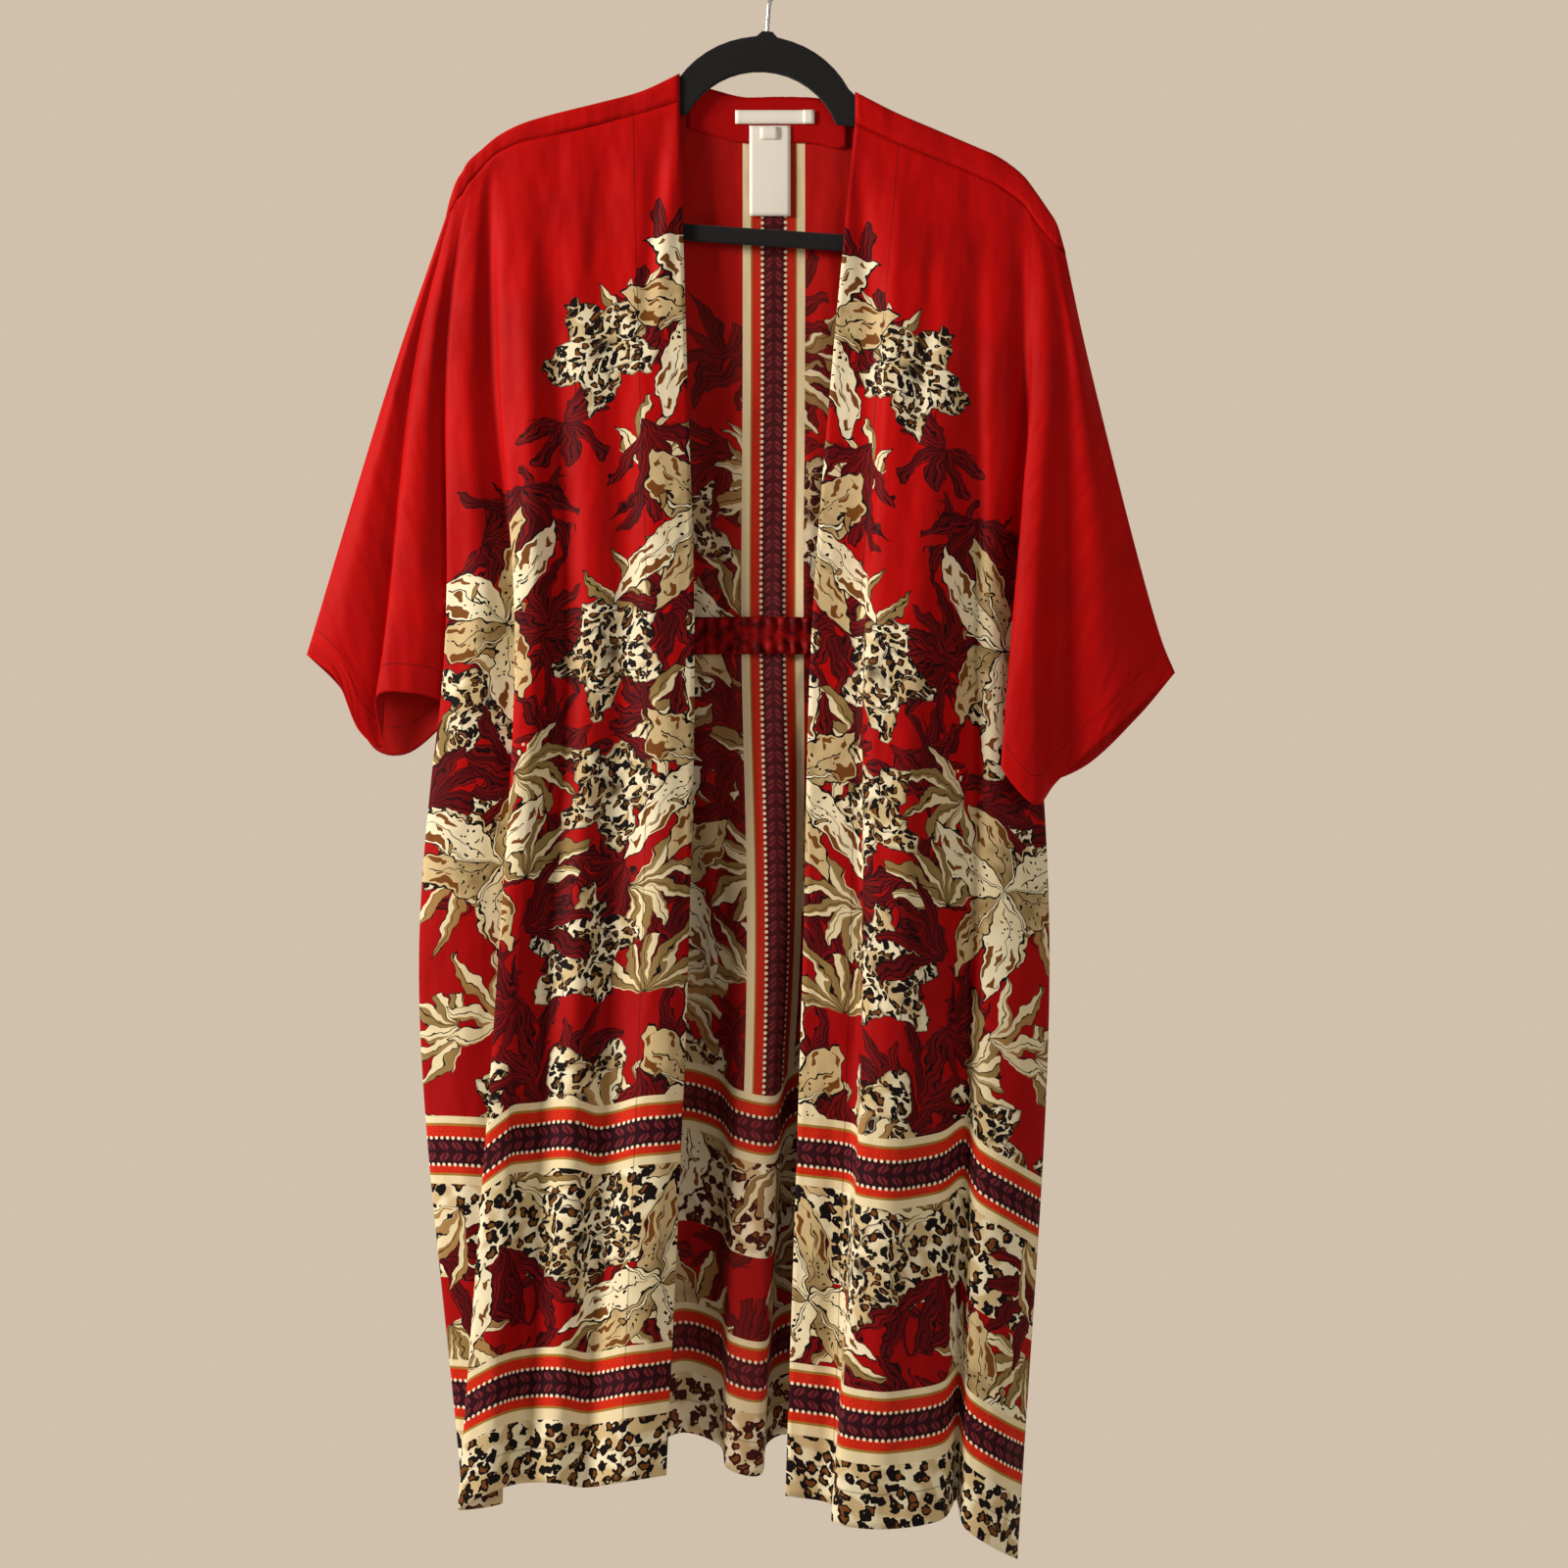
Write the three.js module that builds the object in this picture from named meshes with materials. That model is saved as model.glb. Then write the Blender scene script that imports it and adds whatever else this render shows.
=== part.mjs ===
// An open-front kimono cardigan of light woven cloth, hanging on a slim flocked hanger.
// Millimetres, +Z up. The origin is the inner top of the hanger's hook, where a rod carries it.
// +X is the viewer's right, which is the wearer's left, and -Y is towards the viewer.
// The kimono sleeves are cut in one with the fronts and the back, so each panel below is a sheet
// with a slit that runs down from the armpit: body cloth on one side, half a sleeve on the other.
import * as THREE from "three";
import { mergeVertices } from "three/addons/utils/BufferGeometryUtils.js";

// Driving sizes
const clothWall = 1.2;
const seamGap = 0.3;
const hangerTilt = THREE.MathUtils.degToRad(3.8);
const hangerHalfWidth = 214;
const hangerDrop = 70;
const hangerThickness = 5;
const chestZ = -330;
const waistZ = -540;
const hipZ = -800;
const foldSteps = 2;
const neckFacingDepth = 36;
const casingTop = -523;
const casingBottom = -552;
const casingHalfWidth = 124;
const gatherCount = 26;
const gatherHeight = 1.6;

// The rows sampled between one named level and the next
const rowSteps = { chest: 5, waist: 4, hip: 5, hem: 6, cuff: 3 };

// Reads a table with a heading line into one object for each row
function table(text) {
  const [heading, ...rows] = text.trim().split("\n").map((line) => line.trim().split(/\s+/));
  return rows.map((cells) =>
    Object.fromEntries(cells.map((cell, i) => [heading[i], i ? Number(cell) : cell])),
  );
}

// Folds of the wearer's right front, from its centre edge out to the side seam.
// X is across, D is the distance in front of the hanger's middle, Z is the height.
const rightFrontFolds = table(`
  name      seamX seamD seamZ chestX chestD waistX waistD hipX hipD endX endD  endZ
  edge        -68     4  -125    -62     10    -56     14  -61   22  -77   30 -1181
  ridgeA      -97     4  -134    -91     14    -87     20  -93   30 -109   42 -1183
  valleyA    -120     4  -140   -115     10   -114     12 -125   18 -141   24 -1192
  ridgeB     -147     4  -147   -140     14   -136     20 -145   30 -161   38 -1185
  valleyB    -170     4  -152   -165     10   -159     12 -172   20 -190   24 -1189
  ridgeC     -192     4  -157   -184     16   -177     28 -189   38 -209   45 -1190
  foldEdge   -209     4  -165   -206     13   -193     24 -206   34 -235   38 -1205
  foldIn     -215     4  -170   -215      6   -189      9 -196   14 -203   23 -1204
  sideRidge  -221     4  -177   -230     12   -230     17 -243   15 -220   14 -1200
  sideEdge   -226     4  -183   -244      9   -249     12 -269    6 -236    5 -1200
  sideSeam   -232     4  -190   -250      5   -243     -1 -240   -6 -205   -6 -1199
`);

// The front half of the wearer's right sleeve, from the underarm out to the overarm seam
const rightSleeveFolds = table(`
  name      seamX seamD seamZ chestX chestD waistX waistD endX endD endZ
  underarm   -232     4  -190   -250      5   -243     -1 -246   -1 -597
  inner      -236     4  -197   -254      8   -251      5 -252    5 -589
  ridge      -240   3.6  -201   -260     12   -270     12 -275   14 -583
  ridgeEdge  -243   3.2  -206   -269      9   -295      9 -301   10 -585
  valley     -245   2.8  -209   -273      4   -294      1 -300   -2 -625
  outerIn    -247   2.4  -211   -278      6   -308      5 -316    3 -612
  outer      -248   1.8  -213   -283      7   -331      7 -334    6 -571
  overarm    -249   1.0  -215   -289      1   -353      1 -357    1 -553
`);

// Folds of the wearer's left front, from its centre edge out to the side seam
const leftFrontFolds = table(`
  name      seamX seamD seamZ chestX chestD waistX waistD hipX hipD endX endD  endZ
  edge         68     4  -141     50     10     34     12   27   16   14   18 -1200
  hollow      100     4  -156     88     12     73     14   71   16   49   22 -1205
  foldEdge    108     4  -159     96     18     77     32   74   42   51   60 -1209
  ridgeA      127     4  -167    121     20    107     36  102   48   87   62 -1213
  ridgeB      150     4  -176    146     16    137     24  133   32  133   46 -1210
  valley      165     4  -183    162     10    160      8  155   14  145   22 -1202
  ridgeC      176     4  -188    173     13    172     15  167   26  150   44 -1217
  ridgeD      188     4  -196    185     11    189      9  194   22  172   42 -1233
  sideSeam    199     4  -205    197      4    207      0  218    6  192   20 -1248
`);

// The front half of the wearer's left sleeve, from the underarm out to the overarm seam
const leftSleeveFolds = table(`
  name      seamX seamD seamZ chestX chestD waistX waistD endX endD endZ
  underarm    199     4  -205    197      4    207      0  205    2 -640
  turn        204     4  -212    202      7    212      8  209   12 -646
  foldEdge    208     4  -218    205     12    187     26  179   28 -639
  ridge       212   3.6  -223    215     16    203     34  205   32 -669
  valley      218   3.0  -230    230     10    224     18  222   17 -652
  outer       224   2.2  -236    239     11    260     20  264   19 -613
  overarm     231   1.0  -243    250      1    305      1  316    1 -567
`);

// Folds of the back, from the wearer's right side seam to the left one. Here D is negative,
// because the back hangs behind the hanger. A row with a rise wraps forward over the shoulder
// by that height, and a row with none starts at the neckline, at its seam values.
const backFolds = table(`
  name      seamX seamD seamZ rise chestX chestD waistX waistD hipX hipD endX  endD  endZ
  sideRight  -232     4  -190   19   -250     -8   -243   -2.8 -240 -7.8 -205  -7.8 -1199
  hemTurnA   -221     4  -177   16   -236     -9   -228     -8 -230  -16 -197   -22 -1196
  wallA      -209     4  -165   14   -217    -10   -207    -14 -217  -26 -185   -32 -1190
  wallA2     -192     4  -157   15   -196    -10   -184    -13 -197  -20 -174   -22 -1186
  rollA      -170     4  -152   17   -173     -9   -160    -10 -175  -12 -160    -8 -1182
  wallB      -130     4  -142   17   -135    -10   -118    -16 -135  -28 -128   -34 -1175
  rollB       -97     4  -134   17   -100     -9    -85    -10  -98  -14  -95   -14 -1170
  neckRight   -68     4  -125   17    -70    -10    -60    -15  -66  -26  -66   -28 -1163
  neckA       -45  -6.5  -112    0    -45    -11    -41    -13  -38  -18  -37   -15 -1170
  neckB       -20    -8  -118    0    -20    -10    -22    -11  -23   -4  -30    12 -1181
  neckC         5    -8  -118    0      5    -10      4    -11    8   -2   -6    12 -1186
  neckD        20    -8  -118    0     20    -11     16    -12   20  -16    0   -16 -1168
  neckE        38  -7.5  -119    0     38    -11     30    -13   34  -22   15   -24 -1163
  neckF        55  -6.5  -123    0     55    -10     48    -12   52  -14   42   -12 -1168
  neckLeft     68     4  -141   15     72    -10     62    -15   72  -26   70   -30 -1170
  rollC       100     4  -156   17    104     -9     88    -10  100  -13   98   -12 -1178
  wallC       130     4  -168   17    138    -10    122    -16  138  -28  130   -32 -1188
  rollD       165     4  -183   17    170     -9    160    -10  170  -14  158   -10 -1200
  rollD2      176     4  -188   18    180     -9    174    -11  185  -18  170   -14 -1212
  wallD       188     4  -196   18    190    -10    188    -12  200  -20  182   -16 -1226
  sideLeft    199     4  -205   21    199     -8    207   -1.8  218  4.2  192  18.2 -1248
`);

// The back halves of the sleeves, from the underarm out to the overarm seam
const backRightSleeveFolds = table(`
  name      seamX seamD seamZ rise chestX chestD waistX waistD endX endD endZ
  underarm   -232     4  -190   19   -250     -8   -243   -2.8 -246 -2.8 -597
  inner      -236     4  -197   19   -256     -9   -258    -10 -258  -12 -612
  mid        -240   3.6  -201   17   -264     -9   -282    -12 -283  -14 -630
  midOut     -243   3.2  -206   15   -270     -9   -304    -12 -305  -14 -627
  outer      -247   2.4  -211    7   -280     -7   -330     -9 -333  -10 -578
  overarm    -249  -1.3  -212    0   -289   -1.2   -353     -1 -357   -1 -553
`);
const backLeftSleeveFolds = table(`
  name      seamX seamD seamZ rise chestX chestD waistX waistD endX endD endZ
  underarm    199     4  -205   21    199     -8    207   -1.8  206   -1 -640
  inner       208     4  -218   24    213     -9    218     -9  216   -8 -650
  mid         217   3.2  -229   22    228     -9    246    -10  246   -9 -640
  outer       224   2.2  -236   18    240     -7    281     -8  289   -7 -600
  overarm     231  -1.3  -240    0    250   -1.2    305     -1  316   -1 -567
`);

// Points of one fold line at its named levels, from the top down
const at = (x, distance, z) => new THREE.Vector3(x, -distance, z);
const bodyLevels = (f) => [
  at(f.chestX, f.chestD, chestZ),
  at(f.waistX, f.waistD, waistZ),
];
const topOfFront = (f) => at(f.seamX, f.seamD, f.seamZ);
const endOf = (f) => at(f.endX, f.endD, f.endZ);

// A row of points through the fold lines at one height, with extra points between the folds
function rowThrough(points) {
  const curve = new THREE.CatmullRomCurve3(points, false, "centripetal");
  const count = (points.length - 1) * foldSteps;
  return Array.from({ length: count + 1 }, (_, i) => curve.getPoint(i / count));
}

// Rows down from one level to the next, through every fold line. steps[i] rows follow each level,
// and a first row that another patch already has is kept as it is.
function rowsDown(foldLines, steps, firstLevel = 0, firstRow = null) {
  const curves = foldLines.map((points) => new THREE.CatmullRomCurve3(points, false, "centripetal"));
  const rowAt = (level) => rowThrough(curves.map((c) => c.getPoint(level / (c.points.length - 1))));
  const rows = [firstRow ?? rowAt(firstLevel)];
  steps.forEach((count, i) => {
    for (let k = 1; k <= count; k++) rows.push(rowAt(firstLevel + i + k / count));
  });
  return rows;
}

// A closed wall of even thickness about a sheet that is given as patches of rows of points
function wallOf(patches, thickness = clothWall) {
  const found = new Map();
  const points = [];
  const faces = [];
  const indexOf = (p) => {
    const key = [p.x, p.y, p.z].map((v) => Math.round(v * 1e3)).join();
    if (!found.has(key)) {
      found.set(key, points.length);
      points.push(p);
    }
    return found.get(key);
  };
  for (const rows of patches) {
    for (let j = 0; j + 1 < rows.length; j++) {
      for (let i = 0; i + 1 < rows[j].length; i++) {
        const corners = [rows[j][i], rows[j + 1][i], rows[j + 1][i + 1], rows[j][i + 1]];
        const [a, b, c, d] = corners.map(indexOf);
        if (a !== b && b !== c && a !== c) faces.push([a, b, c]);
        if (a !== c && c !== d && a !== d) faces.push([a, c, d]);
      }
    }
  }
  const normals = points.map(() => new THREE.Vector3());
  const directed = new Set();
  for (const face of faces) {
    const [p, q, r] = face.map((i) => points[i]);
    const normal = new THREE.Vector3().subVectors(q, p).cross(new THREE.Vector3().subVectors(r, p));
    face.forEach((i, k) => {
      normals[i].add(normal);
      directed.add(i + "," + face[(k + 1) % 3]);
    });
  }
  const half = thickness / 2;
  const shifted = [half, -half].flatMap((offset) =>
    points.map((p, i) => p.clone().addScaledVector(normals[i].clone().normalize(), offset)),
  );
  const back = points.length;
  const indices = faces.flatMap(([a, b, c]) => [a, b, c, back + a, back + c, back + b]);
  for (const [a, b, c] of faces) {
    for (const [from, to] of [[a, b], [b, c], [c, a]]) {
      if (!directed.has(to + "," + from)) {
        indices.push(to, from, back + from, to, back + from, back + to);
      }
    }
  }
  const geometry = new THREE.BufferGeometry().setFromPoints(shifted);
  geometry.setIndex(indices);
  return geometry;
}

// One front: full rows from the shoulder seam to the armpit, then body and half sleeve apart
function frontPatches(bodyFolds, sleeveFolds) {
  const body = bodyFolds.map((f) => [topOfFront(f), ...bodyLevels(f), at(f.hipX, f.hipD, hipZ), endOf(f)]);
  const sleeve = sleeveFolds.map((f) => [topOfFront(f), ...bodyLevels(f), endOf(f)]);
  const upper = rowsDown([...body, ...sleeve.slice(1)], [rowSteps.chest, rowSteps.waist]);
  const armpit = (body.length - 1) * foldSteps;
  const waistRow = upper[upper.length - 1];
  return {
    upper,
    body: rowsDown(body, [rowSteps.hip, rowSteps.hem], 2, waistRow.slice(0, armpit + 1)),
    sleeve: rowsDown(sleeve, [rowSteps.cuff], 2, waistRow.slice(armpit)),
  };
}

// The upper edge of one hanger arm, from the neck outwards, in the hanger's own upright frame
const armEdge = [
  [76, -49],
  [110, -61],
  [187, -88],
  [205, -100],
  [hangerHalfWidth, -113],
];

// The end of the arch, where the arms begin
const archEnd = [
  [58, -29.8],
  [66, -40.4],
];

// The height of the tilted hanger's upper edge at a place across the garment
function hangerTopAt(x) {
  const turned = [-1, 1].map((side) =>
    [...archEnd, ...armEdge].map(([across, up]) => ({
      x: side * across * Math.cos(hangerTilt) + up * Math.sin(hangerTilt),
      z: (up - hangerDrop) * Math.cos(hangerTilt) - side * across * Math.sin(hangerTilt),
    })),
  );
  const edge = turned[x < 0 ? 0 : 1];
  const i = edge.findIndex((p, k) => k + 1 < edge.length && (p.x - x) * (edge[k + 1].x - x) <= 0);
  if (i < 0) return Math.abs(x) < 100 ? edge[0].z : -Infinity;
  return THREE.MathUtils.lerp(edge[i].z, edge[i + 1].z, (x - edge[i].x) / (edge[i + 1].x - edge[i].x));
}

// The points by which the back wraps forward over the hanger's arm, from the seam to behind
const seamLift = 1.3;
const noseDrop = 4;
const noseDistance = 4;
const napeDistance = 6.5;
const armClearance = 2.8;
const wrapCount = 6;
function wrapOf(f) {
  if (f.name === "overarm") {
    return Array.from({ length: wrapCount }, () => at(f.seamX, f.seamD, f.seamZ));
  }
  const crest = Math.max(f.seamZ + f.rise, hangerTopAt(f.seamX) + armClearance);
  const nose = Math.min(noseDistance, f.seamD);
  const nape = f.seamD < noseDistance ? nose : napeDistance;
  return [
    at(f.seamX, f.seamD, f.seamZ),
    at(f.seamX, nose, crest - noseDrop),
    at(f.seamX, nose * 0.72, crest - noseDrop * 0.3),
    at(f.seamX, 0, crest),
    at(f.seamX, -nose * 0.72, crest - noseDrop * 0.3),
    at(f.seamX, -nape, crest - noseDrop),
  ];
}

// A point on a row, at a place across
function pointAcross(row, x) {
  const i = row.findIndex((p, k) => k + 1 < row.length && (p.x - x) * (row[k + 1].x - x) <= 0);
  const [p, q] = [row[i], row[i + 1]];
  return new THREE.Vector3().lerpVectors(p, q, (x - p.x) / (q.x - p.x));
}

// The back's edge at the shoulder seam follows the front's, a gap above it, up to the overarm
function seamRow(row, frontRow) {
  const reach = Math.max(...frontRow.map((p) => Math.abs(p.x)));
  const neck = Math.min(...frontRow.map((p) => Math.abs(p.x)));
  return row.map((p) => {
    const across = Math.abs(p.x);
    if (across > reach - 0.01) return p;
    const onFront = pointAcross(frontRow, Math.sign(p.x) * Math.max(across, neck + 0.001));
    return new THREE.Vector3(p.x, onFront.y, onFront.z + seamLift);
  });
}

// The back: both wraps over the shoulders, full rows to the armpits, then body and two half sleeves
function backPatches() {
  const wraps = (f) => f.rise || f.name === "overarm";
  const topOf = (f) => (wraps(f) ? wrapOf(f)[wrapCount - 1] : at(f.seamX, f.seamD, f.seamZ));
  const line = (f) => [topOf(f), ...bodyLevels(f), at(f.hipX, f.hipD, hipZ), endOf(f)];
  const sleeveLine = (f) => [topOf(f), ...bodyLevels(f), endOf(f)];
  const rightSleeve = [...backRightSleeveFolds].reverse();
  const body = backFolds.map(line);
  const right = rightSleeve.map(sleeveLine);
  const left = backLeftSleeveFolds.map(sleeveLine);
  const across = [...right.slice(0, -1), ...body, ...left.slice(1)];
  const upper = rowsDown(across, [rowSteps.chest, rowSteps.waist]);
  const rightArmpit = (right.length - 1) * foldSteps;
  const leftArmpit = rightArmpit + (body.length - 1) * foldSteps;
  const waistRow = upper[upper.length - 1];
  const all = [...rightSleeve.slice(0, -1), ...backFolds, ...backLeftSleeveFolds.slice(1)];
  const firstNeck = all.findIndex((f) => !wraps(f));
  const lastNeck = all.findLastIndex((f) => !wraps(f));
  const wrapRows = (folds, frontRow, topRow) => {
    const points = folds.map(wrapOf);
    const rows = Array.from({ length: wrapCount - 1 }, (_, k) => rowThrough(points.map((p) => p[k])));
    return [seamRow(rows[0], frontRow), ...rows.slice(1), topRow];
  };
  const rightTop = upper[0].slice(0, (firstNeck - 1) * foldSteps + 1);
  const leftTop = upper[0].slice((lastNeck + 1) * foldSteps);
  return {
    wrapRight: wrapRows(all.slice(0, firstNeck), rightFront.upper[0], rightTop),
    wrapLeft: wrapRows(all.slice(lastNeck + 1), leftFront.upper[0], leftTop),
    upper,
    rightSleeve: rowsDown(right, [rowSteps.cuff], 2, waistRow.slice(0, rightArmpit + 1)),
    body: rowsDown(body, [rowSteps.hip, rowSteps.hem], 2, waistRow.slice(rightArmpit, leftArmpit + 1)),
    leftSleeve: rowsDown(left, [rowSteps.cuff], 2, waistRow.slice(leftArmpit)),
  };
}

const rightFront = frontPatches(rightFrontFolds, rightSleeveFolds);
const leftFront = frontPatches(leftFrontFolds, leftSleeveFolds);
const back = backPatches();

// Where the back's inner face lies at a place across and a height, between its armpits
const backRows = [...back.upper, ...back.body.slice(1)];
function backDepth(x, z) {
  const hits = backRows.map((row) => pointAcross(row, x));
  const j = Math.max(0, Math.min(hits.length - 2, hits.findIndex((p) => p.z < z) - 1));
  const t = THREE.MathUtils.clamp((z - hits[j].z) / (hits[j + 1].z - hits[j].z), 0, 1);
  return THREE.MathUtils.lerp(hits[j].y, hits[j + 1].y, t);
}

// A strip that lies on the back's inner face, a given distance towards the viewer
function stripOnBack(xs, topAt, bottomAt, rowCount, lift) {
  const rows = Array.from({ length: rowCount + 1 }, (_, j) =>
    xs.map((x) => {
      const z = THREE.MathUtils.lerp(topAt(x), bottomAt(x), j / rowCount);
      return new THREE.Vector3(x, backDepth(x, z) - lift(x, j / rowCount), z);
    }),
  );
  return rows;
}
const spread = (from, to, count) =>
  Array.from({ length: count + 1 }, (_, i) => from + ((to - from) * i) / count);

// The back neckline as a height over x, read from the back's own top row
const necklineZ = (x) => pointAcross(back.upper[0], x).z;
const layer = clothWall + seamGap;
const facingInset = 62;
const neckFacing = stripOnBack(
  spread(-facingInset, facingInset, 16),
  (x) => necklineZ(x) - 0.5,
  (x) => necklineZ(x) - neckFacingDepth,
  3,
  () => layer + 0.2,
);

// The waist casing: a gathered tunnel for elastic, sewn on the inside of the back
const gatherSteps = 4;
const waistCasing = stripOnBack(
  spread(-casingHalfWidth, casingHalfWidth, gatherCount * gatherSteps),
  () => casingTop,
  () => casingBottom,
  2,
  (x) => layer + 0.3 + gatherHeight * (1 + Math.sin((x * Math.PI * gatherCount) / casingHalfWidth)) * 0.5,
);

// Blank woven labels on the neck facing. Sizes are width, height; places are of the top left corner.
const labels = table(`
  name          left   top width height layers
  label_main   -25.0  -129    61   10.6      2
  label_size    27.5  -129     9   10.6      3
  label_care   -14.0  -141    32   70.0      2
  label_origin  -6.0  -142    15   10.0      3
`);
const labelWall = 0.6;
const labelPatch = (l) =>
  stripOnBack(
    spread(l.left, l.left + l.width, 4),
    () => l.top,
    () => l.top - l.height,
    Math.max(2, Math.round(l.height / 12)),
    () => layer * l.layers,
  );

// The hanger in its own upright frame, below the hook
const archRadius = 78;
const archInnerRadius = 64;
const archTop = -4;
const archInnerTop = -31;
const neckHalf = 66;
const armDepth = 20;
const barTop = -153;
const barBottom = -165.5;
function hangerShape() {
  const shape = new THREE.Shape();
  const archMiddle = archTop - archRadius;
  const archAngle = Math.asin(neckHalf / archRadius);
  const shoulder = (side) => [
    ...armEdge.map(([x, z]) => [side * x, z]),
    [side * (hangerHalfWidth - 2), -124],
    [side * (hangerHalfWidth - 12), -132],
    [side * (hangerHalfWidth - 22), -146],
    [side * (hangerHalfWidth - 34), barBottom + 4],
    [side * (hangerHalfWidth - 44), barBottom],
  ];
  const right = shoulder(1);
  const left = shoulder(-1).reverse();
  shape.moveTo(-4, archTop + 4);
  shape.lineTo(4, archTop + 4);
  shape.lineTo(8, archTop);
  for (let k = 1; k <= 8; k++) {
    const angle = (archAngle * k) / 8;
    const x = Math.max(9, Math.sin(angle) * archRadius);
    if (k > 1) shape.lineTo(x, archMiddle + Math.cos(angle) * archRadius);
  }
  right.forEach(([x, z]) => shape.lineTo(x, z));
  left.forEach(([x, z]) => shape.lineTo(x, z));
  for (let k = 8; k >= 2; k--) {
    const angle = (archAngle * k) / 8;
    shape.lineTo(-Math.sin(angle) * archRadius, archMiddle + Math.cos(angle) * archRadius);
  }
  shape.lineTo(-8, archTop);

  const hole = new THREE.Path();
  const innerMiddle = archInnerTop - archInnerRadius;
  const innerEnd = Math.asin(58 / archInnerRadius);
  const inner = [];
  for (let k = -8; k <= 8; k++) {
    const angle = (innerEnd * k) / 8;
    inner.push([Math.sin(angle) * archInnerRadius, innerMiddle + Math.cos(angle) * archInnerRadius]);
  }
  const under = [
    [76, -49 - armDepth],
    [110, -61 - armDepth],
    [178, -84 - armDepth],
    [194, -96 - armDepth],
    [196, -124],
    [186, -138],
    [176, barTop + 3],
    [166, barTop],
  ];
  const outline = [
    ...inner,
    ...under,
    ...[...under].reverse().map(([x, z]) => [-x, z]),
  ];
  hole.setFromPoints(outline.reverse().map(([x, z]) => new THREE.Vector2(x, z)));
  shape.holes.push(hole);
  return shape;
}
function hangerGeometry() {
  const bevel = 0.8;
  const geometry = new THREE.ExtrudeGeometry(hangerShape(), {
    depth: hangerThickness - 2 * bevel,
    bevelEnabled: true,
    bevelThickness: bevel,
    bevelSize: bevel,
    bevelOffset: -bevel,
    bevelSegments: 1,
    steps: 1,
  });
  geometry.translate(0, 0, -(hangerThickness - 2 * bevel) / 2);
  geometry.rotateX(Math.PI / 2);
  return geometry;
}

// The wire hook: a straight shank, a bend to one side, and three quarters of a turn over the rod
const wireRadius = 1.9;
const hookInnerRadius = 20;
const hookMiddleZ = -hookInnerRadius;
function hookGeometry() {
  const radius = hookInnerRadius + wireRadius;
  const points = [
    new THREE.Vector3(0, 0, -hangerDrop + 0.3),
    new THREE.Vector3(0, 0, -hangerDrop + 10),
    new THREE.Vector3(1.5, 0, hookMiddleZ - radius - 2),
  ];
  const firstAngle = -58;
  const lastAngle = 205;
  for (let angle = firstAngle; angle <= lastAngle; angle += 20) {
    const a = THREE.MathUtils.degToRad(angle);
    points.push(new THREE.Vector3(Math.cos(a) * radius, 0, hookMiddleZ + Math.sin(a) * radius));
  }
  const section = new THREE.Shape().absarc(0, 0, wireRadius, 0, 2 * Math.PI);
  return new THREE.ExtrudeGeometry(section, {
    steps: 32,
    curveSegments: 8,
    bevelEnabled: false,
    extrudePath: new THREE.CatmullRomCurve3(points, false, "centripetal"),
  });
}

const clothRed = new THREE.MeshStandardMaterial({ color: 0xb3120c, roughness: 0.62, metalness: 0 });
const labelWhite = new THREE.MeshStandardMaterial({ color: 0xece6da, roughness: 0.7, metalness: 0 });
const flock = new THREE.MeshStandardMaterial({ color: 0x0b0b0c, roughness: 0.95, metalness: 0 });
const wire = new THREE.MeshStandardMaterial({ color: 0xb9b9b6, roughness: 0.3, metalness: 1 });

function named(name, geometry, material) {
  geometry.deleteAttribute("normal");
  geometry.deleteAttribute("uv");
  const welded = mergeVertices(geometry, 1e-4);
  welded.computeVertexNormals();
  const mesh = new THREE.Mesh(welded, material);
  mesh.name = name;
  return mesh;
}

// The garment hangs plumb below the hanger's neck, which the tilt carries a little to one side
const garment = new THREE.Group();
garment.position.x = -hangerDrop * Math.sin(hangerTilt);
garment.add(
  named("front_right", wallOf(Object.values(rightFront)), clothRed),
  named("front_left", wallOf(Object.values(leftFront)), clothRed),
  named("back", wallOf(Object.values(back)), clothRed),
  named("neck_facing", wallOf([neckFacing]), clothRed),
  named("waist_casing", wallOf([waistCasing]), clothRed),
  ...labels.map((l) => named(l.name, wallOf([labelPatch(l)], labelWall), labelWhite)),
);

const hanger = new THREE.Group();
hanger.rotation.y = hangerTilt;
const hangerBody = named("hanger_body", hangerGeometry(), flock);
hangerBody.position.z = -hangerDrop;
hanger.add(hangerBody, named("hanger_hook", hookGeometry(), wire));

const part = new THREE.Group();
part.add(garment, hanger);
export default part;
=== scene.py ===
"""The looks of an open-front kimono cardigan on a slim flocked hanger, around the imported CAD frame.

Metres, +Z up, the frame's own origin at the inner top of the hook. The fold tables repeat the CAD's own
sizes in millimetres, and each panel of cloth is a fine, thin shell on that form. Every cloth point also
keeps its place on the flat cloth, in millimetres, and the print is drawn there by its material.
"""

import math
from collections import namedtuple

import bpy
import numpy as np
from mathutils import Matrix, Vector


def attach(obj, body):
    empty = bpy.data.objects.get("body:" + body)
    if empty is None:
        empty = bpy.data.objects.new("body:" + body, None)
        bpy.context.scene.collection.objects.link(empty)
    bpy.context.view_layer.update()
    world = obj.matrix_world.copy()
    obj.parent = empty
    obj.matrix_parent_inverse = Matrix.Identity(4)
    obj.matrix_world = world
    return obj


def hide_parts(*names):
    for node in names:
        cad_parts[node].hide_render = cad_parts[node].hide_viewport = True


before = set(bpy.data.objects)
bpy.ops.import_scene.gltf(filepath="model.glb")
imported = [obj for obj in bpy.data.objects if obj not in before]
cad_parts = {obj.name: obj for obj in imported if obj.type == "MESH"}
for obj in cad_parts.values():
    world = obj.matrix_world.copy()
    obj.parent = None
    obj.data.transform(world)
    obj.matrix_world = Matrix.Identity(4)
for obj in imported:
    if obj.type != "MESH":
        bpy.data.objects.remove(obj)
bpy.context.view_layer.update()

MM = 0.001
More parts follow.
